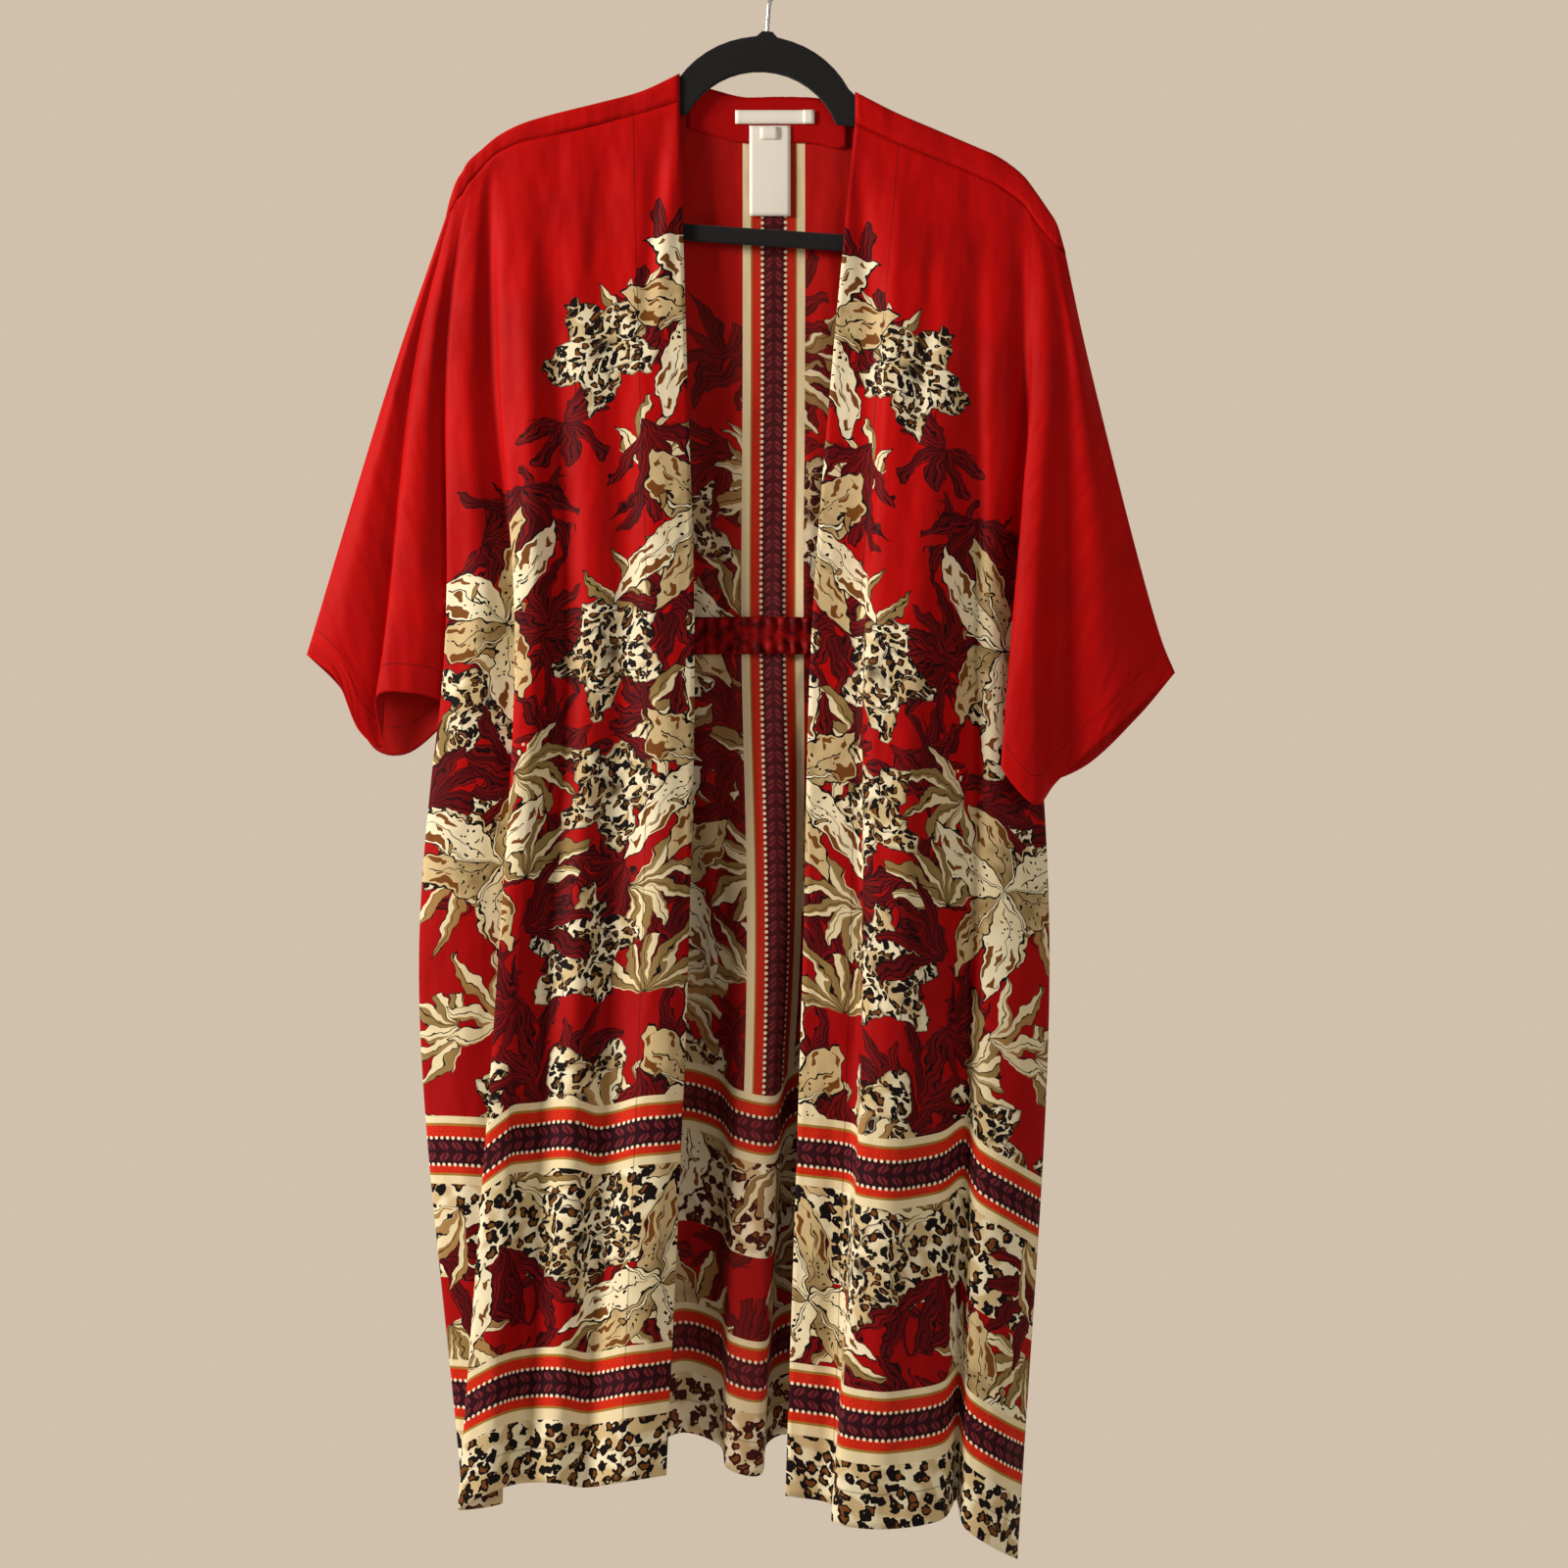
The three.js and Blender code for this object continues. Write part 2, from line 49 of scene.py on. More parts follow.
HANGER_TILT = math.radians(3.8)
HANGER_DROP = 70.0
GARMENT_SHIFT = -HANGER_DROP * math.sin(HANGER_TILT)
CLOTH_WALL = 0.7
CHEST_Z = -330.0
WAIST_Z = -540.0
HIP_Z = -800.0

FRONT_RIGHT = """
  name      seamX seamD seamZ chestX chestD waistX waistD hipX hipD endX endD  endZ
  edge        -68     4  -125    -62     10    -56     14  -61   22  -77   30 -1181
  ridgeA      -97     4  -134    -91     14    -87     20  -93   30 -109   42 -1183
  valleyA    -120     4  -140   -115     10   -114     12 -125   18 -141   24 -1192
  ridgeB     -147     4  -147   -140     14   -136     20 -145   30 -161   38 -1185
  valleyB    -170     4  -152   -165     10   -159     12 -172   20 -190   24 -1189
  ridgeC     -192     4  -157   -184     16   -177     28 -189   38 -209   45 -1190
  foldEdge   -209     4  -165   -206     13   -193     24 -206   34 -235   38 -1205
  foldIn     -215     4  -170   -215      6   -189      9 -196   14 -203   23 -1204
  sideRidge  -221     4  -177   -230     12   -230     17 -243   15 -220   14 -1200
  sideEdge   -226     4  -183   -244      9   -249     12 -269    6 -236    5 -1200
  sideSeam   -232     4  -190   -250      5   -243     -1 -240   -6 -205   -6 -1199
"""
SLEEVE_RIGHT = """
  name      seamX seamD seamZ chestX chestD waistX waistD endX endD endZ
  underarm   -232     4  -190   -250      5   -243     -1 -246   -1 -597
  inner      -236     4  -197   -254      8   -251      5 -252    5 -589
  ridge      -240   3.6  -201   -260     12   -270     12 -275   14 -583
  ridgeEdge  -243   3.2  -206   -269      9   -295      9 -301   10 -585
  valley     -245   2.8  -209   -273      4   -294      1 -300   -2 -625
  outerIn    -247   2.4  -211   -278      6   -308      5 -316    3 -612
  outer      -248   1.8  -213   -283      7   -331      7 -334    6 -571
  overarm    -249   1.0  -215   -289      1   -353      1 -357    1 -553
"""
FRONT_LEFT = """
  name      seamX seamD seamZ chestX chestD waistX waistD hipX hipD endX endD  endZ
  edge         68     4  -141     50     10     34     12   27   16   14   18 -1200
  hollow      100     4  -156     88     12     73     14   71   16   49   22 -1205
  foldEdge    108     4  -159     96     18     77     32   74   42   51   60 -1209
  ridgeA      127     4  -167    121     20    107     36  102   48   87   62 -1213
  ridgeB      150     4  -176    146     16    137     24  133   32  133   46 -1210
  valley      165     4  -183    162     10    160      8  155   14  145   22 -1202
  ridgeC      176     4  -188    173     13    172     15  167   26  150   44 -1217
  ridgeD      188     4  -196    185     11    189      9  194   22  172   42 -1233
  sideSeam    199     4  -205    197      4    207      0  218    6  192   20 -1248
"""
SLEEVE_LEFT = """
  name      seamX seamD seamZ chestX chestD waistX waistD endX endD endZ
  underarm    199     4  -205    197      4    207      0  205    2 -640
  turn        204     4  -212    202      7    212      8  209   12 -646
  foldEdge    208     4  -218    205     12    187     26  179   28 -639
  ridge       212   3.6  -223    215     16    203     34  205   32 -669
  valley      218   3.0  -230    230     10    224     18  222   17 -652
  outer       224   2.2  -236    239     11    260     20  264   19 -613
  overarm     231   1.0  -243    250      1    305      1  316    1 -567
"""
BACK = """
  name      seamX seamD seamZ rise chestX chestD waistX waistD hipX hipD endX  endD  endZ
  sideRight  -232     4  -190   19   -250     -8   -243   -2.8 -240 -7.8 -205  -7.8 -1199
  hemTurnA   -221     4  -177   16   -236     -9   -228     -8 -230  -16 -197   -22 -1196
  wallA      -209     4  -165   14   -217    -10   -207    -14 -217  -26 -185   -32 -1190
  wallA2     -192     4  -157   15   -196    -10   -184    -13 -197  -20 -174   -22 -1186
  rollA      -170     4  -152   17   -173     -9   -160    -10 -175  -12 -160    -8 -1182
  wallB      -130     4  -142   17   -135    -10   -118    -16 -135  -28 -128   -34 -1175
  rollB       -97     4  -134   17   -100     -9    -85    -10  -98  -14  -95   -14 -1170
  neckRight   -68     4  -125   17    -70    -10    -60    -15  -66  -26  -66   -28 -1163
  neckA       -45  -6.5  -112    0    -45    -11    -41    -13  -38  -18  -37   -15 -1170
  neckB       -20    -8  -118    0    -20    -10    -22    -11  -23   -4  -30    12 -1181
  neckC         5    -8  -118    0      5    -10      4    -11    8   -2   -6    12 -1186
  neckD        20    -8  -118    0     20    -11     16    -12   20  -16    0   -16 -1168
  neckE        38  -7.5  -119    0     38    -11     30    -13   34  -22   15   -24 -1163
  neckF        55  -6.5  -123    0     55    -10     48    -12   52  -14   42   -12 -1168
  neckLeft     68     4  -141   15     72    -10     62    -15   72  -26   70   -30 -1170
  rollC       100     4  -156   17    104     -9     88    -10  100  -13   98   -12 -1178
  wallC       130     4  -168   17    138    -10    122    -16  138  -28  130   -32 -1188
  rollD       165     4  -183   17    170     -9    160    -10  170  -14  158   -10 -1200
  rollD2      176     4  -188   18    180     -9    174    -11  185  -18  170   -14 -1212
  wallD       188     4  -196   18    190    -10    188    -12  200  -20  182   -16 -1226
  sideLeft    199     4  -205   21    199     -8    207   -1.8  218  4.2  192  18.2 -1248
"""
BACK_SLEEVE_RIGHT = """
  name      seamX seamD seamZ rise chestX chestD waistX waistD endX endD endZ
  underarm   -232     4  -190   19   -250     -8   -243   -2.8 -246 -2.8 -597
  inner      -236     4  -197   19   -256     -9   -258    -10 -258  -12 -612
  mid        -240   3.6  -201   17   -264     -9   -282    -12 -283  -14 -630
  midOut     -243   3.2  -206   15   -270     -9   -304    -12 -305  -14 -627
  outer      -247   2.4  -211    7   -280     -7   -330     -9 -333  -10 -578
  overarm    -249  -1.3  -212    0   -289   -1.2   -353     -1 -357   -1 -553
"""
BACK_SLEEVE_LEFT = """
  name      seamX seamD seamZ rise chestX chestD waistX waistD endX endD endZ
  underarm    199     4  -205   21    199     -8    207   -1.8  206   -1 -640
  inner       208     4  -218   24    213     -9    218     -9  216   -8 -650
  mid         217   3.2  -229   22    228     -9    246    -10  246   -9 -640
  outer       224   2.2  -236   18    240     -7    281     -8  289   -7 -600
  overarm     231  -1.3  -240    0    250   -1.2    305     -1  316   -1 -567
"""
# The upper edge of a hanger arm from the neck outwards, in the hanger's own upright frame
ARM_EDGE = [(58, -29.8), (66, -40.4), (76, -49), (110, -61), (187, -88), (205, -100), (214, -113)]


def table(text):
    """A table with a heading line, as one dictionary for each row."""
    heading, *rows = [line.split() for line in text.strip().splitlines()]
    return [{h: (c if h == "name" else float(c)) for h, c in zip(heading, row)} for row in rows]


def at(x, distance, z):
    """A point in the garment's millimetres, by its distance in front of the hanger."""
    return np.array([x, -distance, z])


def catmull(points, ts):
    """A centripetal Catmull-Rom curve through points (..., n, 3), read at ts from 0 to n - 1."""
    n = points.shape[-2]
    ts = np.asarray(ts, float)
    first = 2 * points[..., :1, :] - points[..., 1:2, :]
    last = 2 * points[..., -1:, :] - points[..., -2:-1, :]
    p = np.concatenate([first, points, last], axis=-2)
    seg = np.clip(np.floor(ts).astype(int), 0, n - 2)
    w = (ts - seg)[:, None]
    p0, p1, p2, p3 = (p[..., seg + k, :] for k in range(4))
    steps = (p1 - p0, p2 - p1, p3 - p2)
    d0, d1, d2 = (np.sqrt(np.linalg.norm(step, axis=-1, keepdims=True)) for step in steps)
    d1 = np.where(d1 < 1e-4, 1.0, d1)
    d0 = np.where(d0 < 1e-4, d1, d0)
    d2 = np.where(d2 < 1e-4, d1, d2)
    m1 = ((p1 - p0) / d0 - (p2 - p0) / (d0 + d1) + (p2 - p1) / d1) * d1
    m2 = ((p2 - p1) / d1 - (p3 - p1) / (d1 + d2) + (p3 - p2) / d2) * d1
    c2 = -3 * p1 + 3 * p2 - 2 * m1 - m2
    c3 = 2 * p1 - 2 * p2 + m1 + m2
    return p1 + m1 * w + c2 * w**2 + c3 * w**3


# The shape of the cloth

ACROSS_STEP = 4.6
DOWN_STEPS = (42, 42, 52, 74)
CUFF_STEPS = 26
WRAP_STEPS = 3


def top_of_front(f):
    return at(f["seamX"], f["seamD"], f["seamZ"])


def levels_below(f):
    """The levels of one fold line below the shoulder: chest, waist, and hip and hem or the cuff."""
    points = [at(f["chestX"], f["chestD"], CHEST_Z), at(f["waistX"], f["waistD"], WAIST_Z)]
    if "hipX" in f:
        points.append(at(f["hipX"], f["hipD"], HIP_Z))
    return points + [at(f["endX"], f["endD"], f["endZ"])]


def hanger_top(x):
    """The height of the tilted hanger's upper edge at a place across the garment."""
    side = -1 if x < 0 else 1
    cos, sin = math.cos(HANGER_TILT), math.sin(HANGER_TILT)
    xs = [side * a * cos + up * sin for a, up in ARM_EDGE]
    zs = [(up - HANGER_DROP) * cos - side * a * sin for a, up in ARM_EDGE]
    if not min(xs) <= x <= max(xs):
        return -1e9
    order = np.argsort(xs)
    return float(np.interp(x, np.array(xs)[order], np.array(zs)[order]))


NOSE_DROP = 4.0
NOSE_DISTANCE = 4.0
NAPE_DISTANCE = 6.5
ARM_CLEARANCE = 2.8
SEAM_LIFT = 0.05


def wrap_of(f):
    """The points by which the back wraps forward over the hanger's arm, from the seam to behind."""
    if f["name"] == "overarm":
        return [at(f["seamX"], f["seamD"], f["seamZ"])] * 6
    crest = max(f["seamZ"] + f["rise"], hanger_top(f["seamX"]) + ARM_CLEARANCE)
    nose = min(NOSE_DISTANCE, f["seamD"])
    nape = nose if f["seamD"] < NOSE_DISTANCE else NAPE_DISTANCE
    x = f["seamX"]
    return [
        at(x, f["seamD"], f["seamZ"] + SEAM_LIFT),
        at(x, nose, crest - NOSE_DROP),
        at(x, nose * 0.72, crest - NOSE_DROP * 0.3),
        at(x, 0, crest),
        at(x, -nose * 0.72, crest - NOSE_DROP * 0.3),
        at(x, -nape, crest - NOSE_DROP),
    ]


def wraps(f):
    return f["rise"] > 0 or f["name"] == "overarm"


def grid(lines, across, downs):
    """Points (rows, columns, 3): every fold line read at the levels downs, then the rows read at across."""
    columns = np.stack([catmull(np.array(line)[None], downs)[0] for line in lines], axis=1)
    return catmull(columns, across)


def across_steps(lines):
    """Places across, in fold numbers, so that steps are about ACROSS_STEP at the widest level."""
    places = [0.0]
    for k in range(len(lines) - 1):
        shared = min(len(lines[k]), len(lines[k + 1]))
        widest = max(np.linalg.norm(lines[k][i] - lines[k + 1][i]) for i in range(shared))
        count = max(2, round(widest * 1.05 / ACROSS_STEP))
        places += [k + (i + 1) / count for i in range(count)]
    return np.array(places)


def down_steps(first, counts):
    """Places down, in level numbers, starting at level first."""
    places = [float(first)]
    for level, count in enumerate(counts, start=first):
        places += [level + (i + 1) / count for i in range(count)]
    return np.array(places)


def along(points, axis):
    """Distance walked along an axis of a grid of points, from its first row or column."""
    steps = np.linalg.norm(np.diff(points, axis=axis), axis=-1)
    start = np.zeros_like(np.take(steps, [0], axis=axis))
    return np.concatenate([start, np.cumsum(steps, axis=axis)], axis=axis)


FAR = 5000.0


class Patch:
    """A grid of cloth with its places on the flat cloth: u across, v down, h up from hem, c up from cuff."""

    def __init__(self, points, u, v, h, c):
        shape = points.shape[:2]
        self.points = points
        self.u, self.v, self.h, self.c = (np.broadcast_to(a, shape).astype(float) for a in (u, v, h, c))


def waist_split(body, sleeve):
    """Patches of one panel half: full rows from the top to the armpit, then body and half sleeve."""
    places = across_steps(body + sleeve[1:])
    armpit = int(np.argmin(np.abs(places - (len(body) - 1))))
    upper = grid(body + sleeve[1:], places, down_steps(0, DOWN_STEPS[:2]))
    low = grid(body, places[: armpit + 1], down_steps(2, DOWN_STEPS[2:]))
    cuff = grid(sleeve, places[armpit:] - (len(body) - 1), down_steps(2, [CUFF_STEPS]))
    low[0], cuff[0] = upper[-1, : armpit + 1], upper[-1, armpit:]
    u_upper, v_upper = along(upper, 1), along(upper, 0)
    u_low, v_low = along(low, 1), along(low, 0) + v_upper[-1, : armpit + 1]
    u_cuff, v_cuff = along(cuff, 1) + u_upper[-1, armpit], along(cuff, 0) + v_upper[-1, armpit:]
    h_upper = np.full(upper.shape[:2], FAR)
    h_upper[:, : armpit + 1] = v_low[-1] - v_upper[:, : armpit + 1]
    c_upper = np.full(upper.shape[:2], FAR)
    c_upper[:, armpit + 1 :] = v_cuff[-1, 1:] - v_upper[:, armpit + 1 :]
    return {
        "upper": Patch(upper, u_upper, v_upper, h_upper, c_upper),
        "body": Patch(low, u_low, v_low, v_low[-1] - v_low, FAR),
        "cuff": Patch(cuff, u_cuff, v_cuff, FAR, v_cuff[-1] - v_cuff),
    }


def front_patches(folds, sleeve_folds):
    body = [[top_of_front(f)] + levels_below(f) for f in table(folds)]
    sleeve = [[top_of_front(f)] + levels_below(f) for f in table(sleeve_folds)]
    return waist_split(body, sleeve)


def back_patches():
    """The back: both wraps over the shoulders, full rows to the armpits, then body and two half sleeves."""
    body_folds, left_folds = table(BACK), table(BACK_SLEEVE_LEFT)
    right_folds = table(BACK_SLEEVE_RIGHT)[::-1]

    def line(f):
        top = wrap_of(f)[-1] if wraps(f) else at(f["seamX"], f["seamD"], f["seamZ"])
        return [top] + levels_below(f)

    body, right, left = ([line(f) for f in folds] for folds in (body_folds, right_folds, left_folds))
    every = right[:-1] + body + left[1:]
    folds = right_folds[:-1] + body_folds + left_folds[1:]
    places = across_steps(every)
    column = lambda fold: int(np.argmin(np.abs(places - fold)))
    first, last = len(right) - 1, len(right) + len(body) - 2
    a, b = column(first), column(last)
    upper = grid(every, places, down_steps(0, DOWN_STEPS[:2]))
    low = grid(body, places[a : b + 1] - first, down_steps(2, DOWN_STEPS[2:]))
    cuff_r = grid(right, places[: a + 1], down_steps(2, [CUFF_STEPS]))
    cuff_l = grid(left, places[b:] - last, down_steps(2, [CUFF_STEPS]))
    low[0], cuff_r[0], cuff_l[0] = upper[-1, a : b + 1], upper[-1, : a + 1], upper[-1, b:]

    neck = [k for k, f in enumerate(folds) if not wraps(f)]
    neck_a, neck_b = column(neck[0] - 1), column(neck[-1] + 1)
    wrap_places = np.linspace(0, 5, 5 * WRAP_STEPS + 1)
    wrap_r = grid([wrap_of(f) for f in folds[: neck[0]]], places[: neck_a + 1], wrap_places)
    wrap_l = grid([wrap_of(f) for f in folds[neck[-1] + 1 :]], places[neck_b:] - neck[-1] - 1, wrap_places)
    wrap_r[-1], wrap_l[-1] = upper[0, : neck_a + 1], upper[0, neck_b:]

    u = along(upper, 1)
    centre = column(first + 10)
    middle = u[:, centre : centre + 1]
    u_low = along(low, 1)
    v_r, v_l = along(wrap_r, 0), along(wrap_l, 0)
    start = np.interp(np.arange(len(places)), [neck_a, neck_b], [v_r[-1, -1], v_l[-1, 0]])
    start[: neck_a + 1], start[neck_b:] = v_r[-1], v_l[-1]
    v = along(upper, 0) + start
    v_low = along(low, 0) + v[-1, a : b + 1]
    v_cr, v_cl = along(cuff_r, 0) + v[-1, : a + 1], along(cuff_l, 0) + v[-1, b:]
    h = np.full(upper.shape[:2], FAR)
    h[:, a : b + 1] = v_low[-1] - v[:, a : b + 1]
    c = np.full(upper.shape[:2], FAR)
    c[:, :a], c[:, b + 1 :] = v_cr[-1, :-1] - v[:, :a], v_cl[-1, 1:] - v[:, b + 1 :]
    row0 = u[0] - middle[0]
    u_cr = along(cuff_r[:, ::-1], 1)[:, ::-1]
    return {
        "wrap_r": Patch(wrap_r, row0[: neck_a + 1], v_r, FAR, FAR),
        "wrap_l": Patch(wrap_l, row0[neck_b:], v_l, FAR, FAR),
        "upper": Patch(upper, u - middle, v, h, c),
        "body": Patch(low, u_low - u_low[:, centre - a : centre - a + 1], v_low, v_low[-1] - v_low, FAR),
        "cuff_r": Patch(cuff_r, (u - middle)[-1, a] - u_cr, v_cr, FAR, v_cr[-1] - v_cr),
        "cuff_l": Patch(cuff_l, (u - middle)[-1, b] + along(cuff_l, 1), v_cl, FAR, v_cl[-1] - v_cl),
    }


def joined(patches):
    """One sheet out of patches: its points, their cloth places (u, v, h, c), and its quads."""
    points = np.concatenate([p.points.reshape(-1, 3) for p in patches])
    places = np.concatenate([np.stack([p.u, p.v, p.h, p.c], -1).reshape(-1, 4) for p in patches])
    quads, start = [], 0
    for p in patches:
        rows, cols = p.points.shape[:2]
        ids = start + np.arange(rows * cols).reshape(rows, cols)
        quads.append(np.stack([ids[:-1, :-1], ids[1:, :-1], ids[1:, 1:], ids[:-1, 1:]], -1).reshape(-1, 4))
        start += rows * cols
    keys = np.round(points, 3) + 0.0
    _, first, inverse = np.unique(keys, axis=0, return_index=True, return_inverse=True)
    quads = inverse.reshape(-1)[np.concatenate(quads)]
    return points[first], places[first], quads


def normals_of(points, quads):
    a, b, c, d = (points[quads[:, k]] for k in range(4))
    face = np.cross(c - a, d - b)
    total = np.zeros_like(points)
    for k in range(4):
        np.add.at(total, quads[:, k], face)
    return total / np.maximum(np.linalg.norm(total, axis=1, keepdims=True), 1e-12)


def shell(name, points, places, quads, wall=CLOTH_WALL, turned=False):
    """A thin closed wall about a sheet in the garment's millimetres. Turned: its right side is the other."""
    normal = normals_of(points, quads)
    n = len(points)
    both = np.concatenate([points + normal * wall / 2, points - normal * wall / 2])
    tris = np.concatenate([quads[:, [0, 1, 2]], quads[:, [0, 2, 3]]])
    keep = (tris[:, 0] != tris[:, 1]) & (tris[:, 1] != tris[:, 2]) & (tris[:, 2] != tris[:, 0])
    whole = (quads != np.roll(quads, 1, axis=1)).all(axis=1)
    faces = [tuple(q) for q in quads[whole]] + [tuple(t) for t in tris[keep & np.tile(~whole, 2)]]
    directed = {(f[k], f[(k + 1) % len(f)]) for f in faces for k in range(len(f))}
    rims = [(j, i, n + i, n + j) for i, j in directed if (j, i) not in directed]
    inner = [tuple(n + i for i in reversed(f)) for f in faces]
    mesh = bpy.data.meshes.new(name)
    mesh.from_pydata(((both + [GARMENT_SHIFT, 0, 0]) * MM).tolist(), [], faces + inner + rims)
    mesh.polygons.foreach_set("use_smooth", [True] * (2 * len(faces)) + [False] * len(rims))
    cloth = mesh.attributes.new("cloth", "FLOAT_VECTOR", "POINT")
    cloth.data.foreach_set("vector", np.tile(places[:, :3], (2, 1)).astype(np.float32).ravel())
    trim = mesh.attributes.new("trim", "FLOAT_VECTOR", "POINT")
    side = np.repeat([1.0, 0.0] if turned else [0.0, 1.0], n)
    trim.data.foreach_set(
        "vector", np.stack([np.tile(places[:, 3], 2), side, side * 0], -1).astype(np.float32).ravel()
    )
    mesh.update()
    thing = bpy.data.objects.new(name, mesh)
    bpy.context.scene.collection.objects.link(thing)
    return thing


# Materials


class Nodes:
    """A small maker of node trees: numbers and sockets combine with plain methods."""

    def __init__(self, name):
        self.material = bpy.data.materials.new(name)
        self.material.use_nodes = True
        self.tree = self.material.node_tree
        self.tree.nodes.clear()

    def node(self, kind, inputs=(), **settings):
        made = self.tree.nodes.new(kind)
        for key, value in settings.items():
            setattr(made, key, value)
        for key, value in dict(inputs).items():
            self.put(made.inputs[key], value)
        return made

    def put(self, socket, value):
        if isinstance(value, bpy.types.NodeSocket):
            self.tree.links.new(value, socket)
        elif isinstance(value, tuple) and len(value) == 3 and socket.type == "RGBA":
            socket.default_value = (*value, 1.0)
        else:
            socket.default_value = value

    def math(self, operation, a, b=0.0, c=0.0):
        return self.node("ShaderNodeMath", {0: a, 1: b, 2: c}, operation=operation).outputs[0]

    def add(self, a, b):
        return self.math("ADD", a, b)

    def sub(self, a, b):
        return self.math("SUBTRACT", a, b)

    def mul(self, a, b):
        return self.math("MULTIPLY", a, b)

    def div(self, a, b):
        return self.math("DIVIDE", a, b)

    def most(self, a, b):
        return self.math("MAXIMUM", a, b)

    def least(self, a, b):
        return self.math("MINIMUM", a, b)

    def size(self, a):
        return self.math("ABSOLUTE", a)

    def sin(self, a):
        return self.math("SINE", a)

    def below(self, a, limit):
        return self.math("LESS_THAN", a, limit)

    def above(self, a, limit):
        return self.math("GREATER_THAN", a, limit)

    def both(self, *masks):
        out = masks[0]
        for mask in masks[1:]:
            out = self.mul(out, mask)
        return out

    def inside(self, a, low, high):
        return self.mul(self.above(a, low), self.below(a, high))

    def wave(self, a, period):
        """The fraction of the way through the current repeat."""
        return self.math("FRACT", self.div(a, period))

    def ramp(self, a, low, high, to_low=0.0, to_high=1.0, smooth=True):
        kind = "SMOOTHSTEP" if smooth else "LINEAR"
        settings = {0: a, 1: low, 2: high, 3: to_low, 4: to_high}
        return self.node("ShaderNodeMapRange", settings, interpolation_type=kind).outputs[0]

    def mix(self, factor, a, b):
        made = self.node("ShaderNodeMix", data_type="RGBA")
        self.put(made.inputs[0], factor)
        self.put(made.inputs[6], a)
        self.put(made.inputs[7], b)
        return made.outputs[2]

    def vector(self, x, y, z=0.0):
        return self.node("ShaderNodeCombineXYZ", {0: x, 1: y, 2: z}).outputs[0]

    def parts(self, vector):
        return self.node("ShaderNodeSeparateXYZ", {0: vector}).outputs

    def vmath(self, operation, a, b=(0, 0, 0)):
        return self.node("ShaderNodeVectorMath", {0: a, 1: b}, operation=operation).outputs[0]

    def scaled(self, vector, factor):
        made = self.node("ShaderNodeVectorMath", {0: vector}, operation="SCALE")
        self.put(made.inputs["Scale"], factor)
        return made.outputs[0]

    def noise(self, vector, scale, detail=2.0, space="2D"):
        settings = {"Vector": vector, "Scale": scale, "Detail": detail, "Roughness": 0.5}
        return self.node("ShaderNodeTexNoise", settings, noise_dimensions=space)

    def cells(self, vector, randomness=1.0, feature="F1"):
        settings = {"Vector": vector, "Scale": 1.0, "Randomness": randomness}
        return self.node("ShaderNodeTexVoronoi", settings, voronoi_dimensions="2D", feature=feature)

    def finish(self, color, surface, height=None, lift=0.1, distance=0.0004):
        shader = self.node("ShaderNodeBsdfPrincipled", {"Base Color": color, **surface})
        if height is not None:
            bump = self.node("ShaderNodeBump", {"Strength": lift, "Distance": distance, "Height": height})
            self.tree.links.new(bump.outputs[0], shader.inputs["Normal"])
        out = self.node("ShaderNodeOutputMaterial")
        self.tree.links.new(shader.outputs[0], out.inputs[0])
        return self.material


def linear(r, g, b):
    """A display colour, 0 to 255, as a linear one."""
    return tuple(((c / 255 + 0.055) / 1.055) ** 2.4 if c > 10 else c / 255 / 12.92 for c in (r, g, b))


RED = linear(178, 3, 2)
RED_SOFT = linear(166, 3, 3)
DEEP_RED = linear(146, 5, 7)
WINE = linear(118, 8, 11)
MAROON = linear(92, 6, 11)
DARK_MAROON = linear(34, 4, 8)
CREAM = linear(226, 210, 170)
PALE = linear(236, 224, 192)
TAN_PALE = linear(202, 178, 132)
TAN = linear(160, 122, 72)
OLIVE = linear(142, 116, 70)
BROWN = linear(116, 68, 26)
INK = linear(20, 13, 13)
ORANGE_RED = linear(184, 36, 16)
BAND_DARK = linear(46, 12, 22)
BAND_LEAF = linear(112, 38, 44)
GOLD = linear(158, 118, 48)


Spot = namedtuple("Spot", "x y on gap rand")


def motif_cells(g, flat, cell, seed, keep, randomness=0.45):
    """One motif place for each cell: turned x and y in mm, 1 where it is drawn, and the mm left to the
    next cell."""
    origin = (seed * 3.7, seed * 1.9, 0)
    shifted = g.vmath("ADD", g.scaled(flat, 1 / cell), origin)
    found = g.cells(shifted, randomness)
    rand = g.parts(found.outputs["Color"])
    local = g.scaled(g.vmath("SUBTRACT", shifted, found.outputs["Position"]), cell)
    centre = g.scaled(g.vmath("SUBTRACT", found.outputs["Position"], origin), cell)
    turned = g.node("ShaderNodeVectorRotate", {"Vector": local}, rotation_type="Z_AXIS")
    g.put(turned.inputs["Angle"], g.ramp(rand[0], 0, 1, 0.0, 2 * math.pi, smooth=False))
    x, y, _ = g.parts(turned.outputs[0])
    cu, cv, _ = g.parts(centre)
    edge = g.cells(shifted, randomness, feature="DISTANCE_TO_EDGE").outputs["Distance"]
    return Spot(x, y, keep(cu, cv, rand[1]), g.mul(edge, cell), rand[2])


def around(g, spot, count, turn, bend=0.0, squash=0.0):
    """A place's ring of count petals: along one petal, across it, the petal's number, and the angle."""
    y = g.mul(spot.y, 1 + squash)
    r = g.math("SQRT", g.add(g.mul(spot.x, spot.x), g.mul(y, y)))
    angle = g.add(g.math("ARCTAN2", y, spot.x), g.add(turn, g.mul(r, bend)))
    sector = 2 * math.pi / count
    part = g.div(angle, sector)
    number = g.math("FLOOR", part)
    folded = g.mul(g.sub(g.sub(part, number), 0.5), sector)
    return g.mul(r, g.math("COSINE", folded)), g.mul(r, g.sin(folded)), number, angle


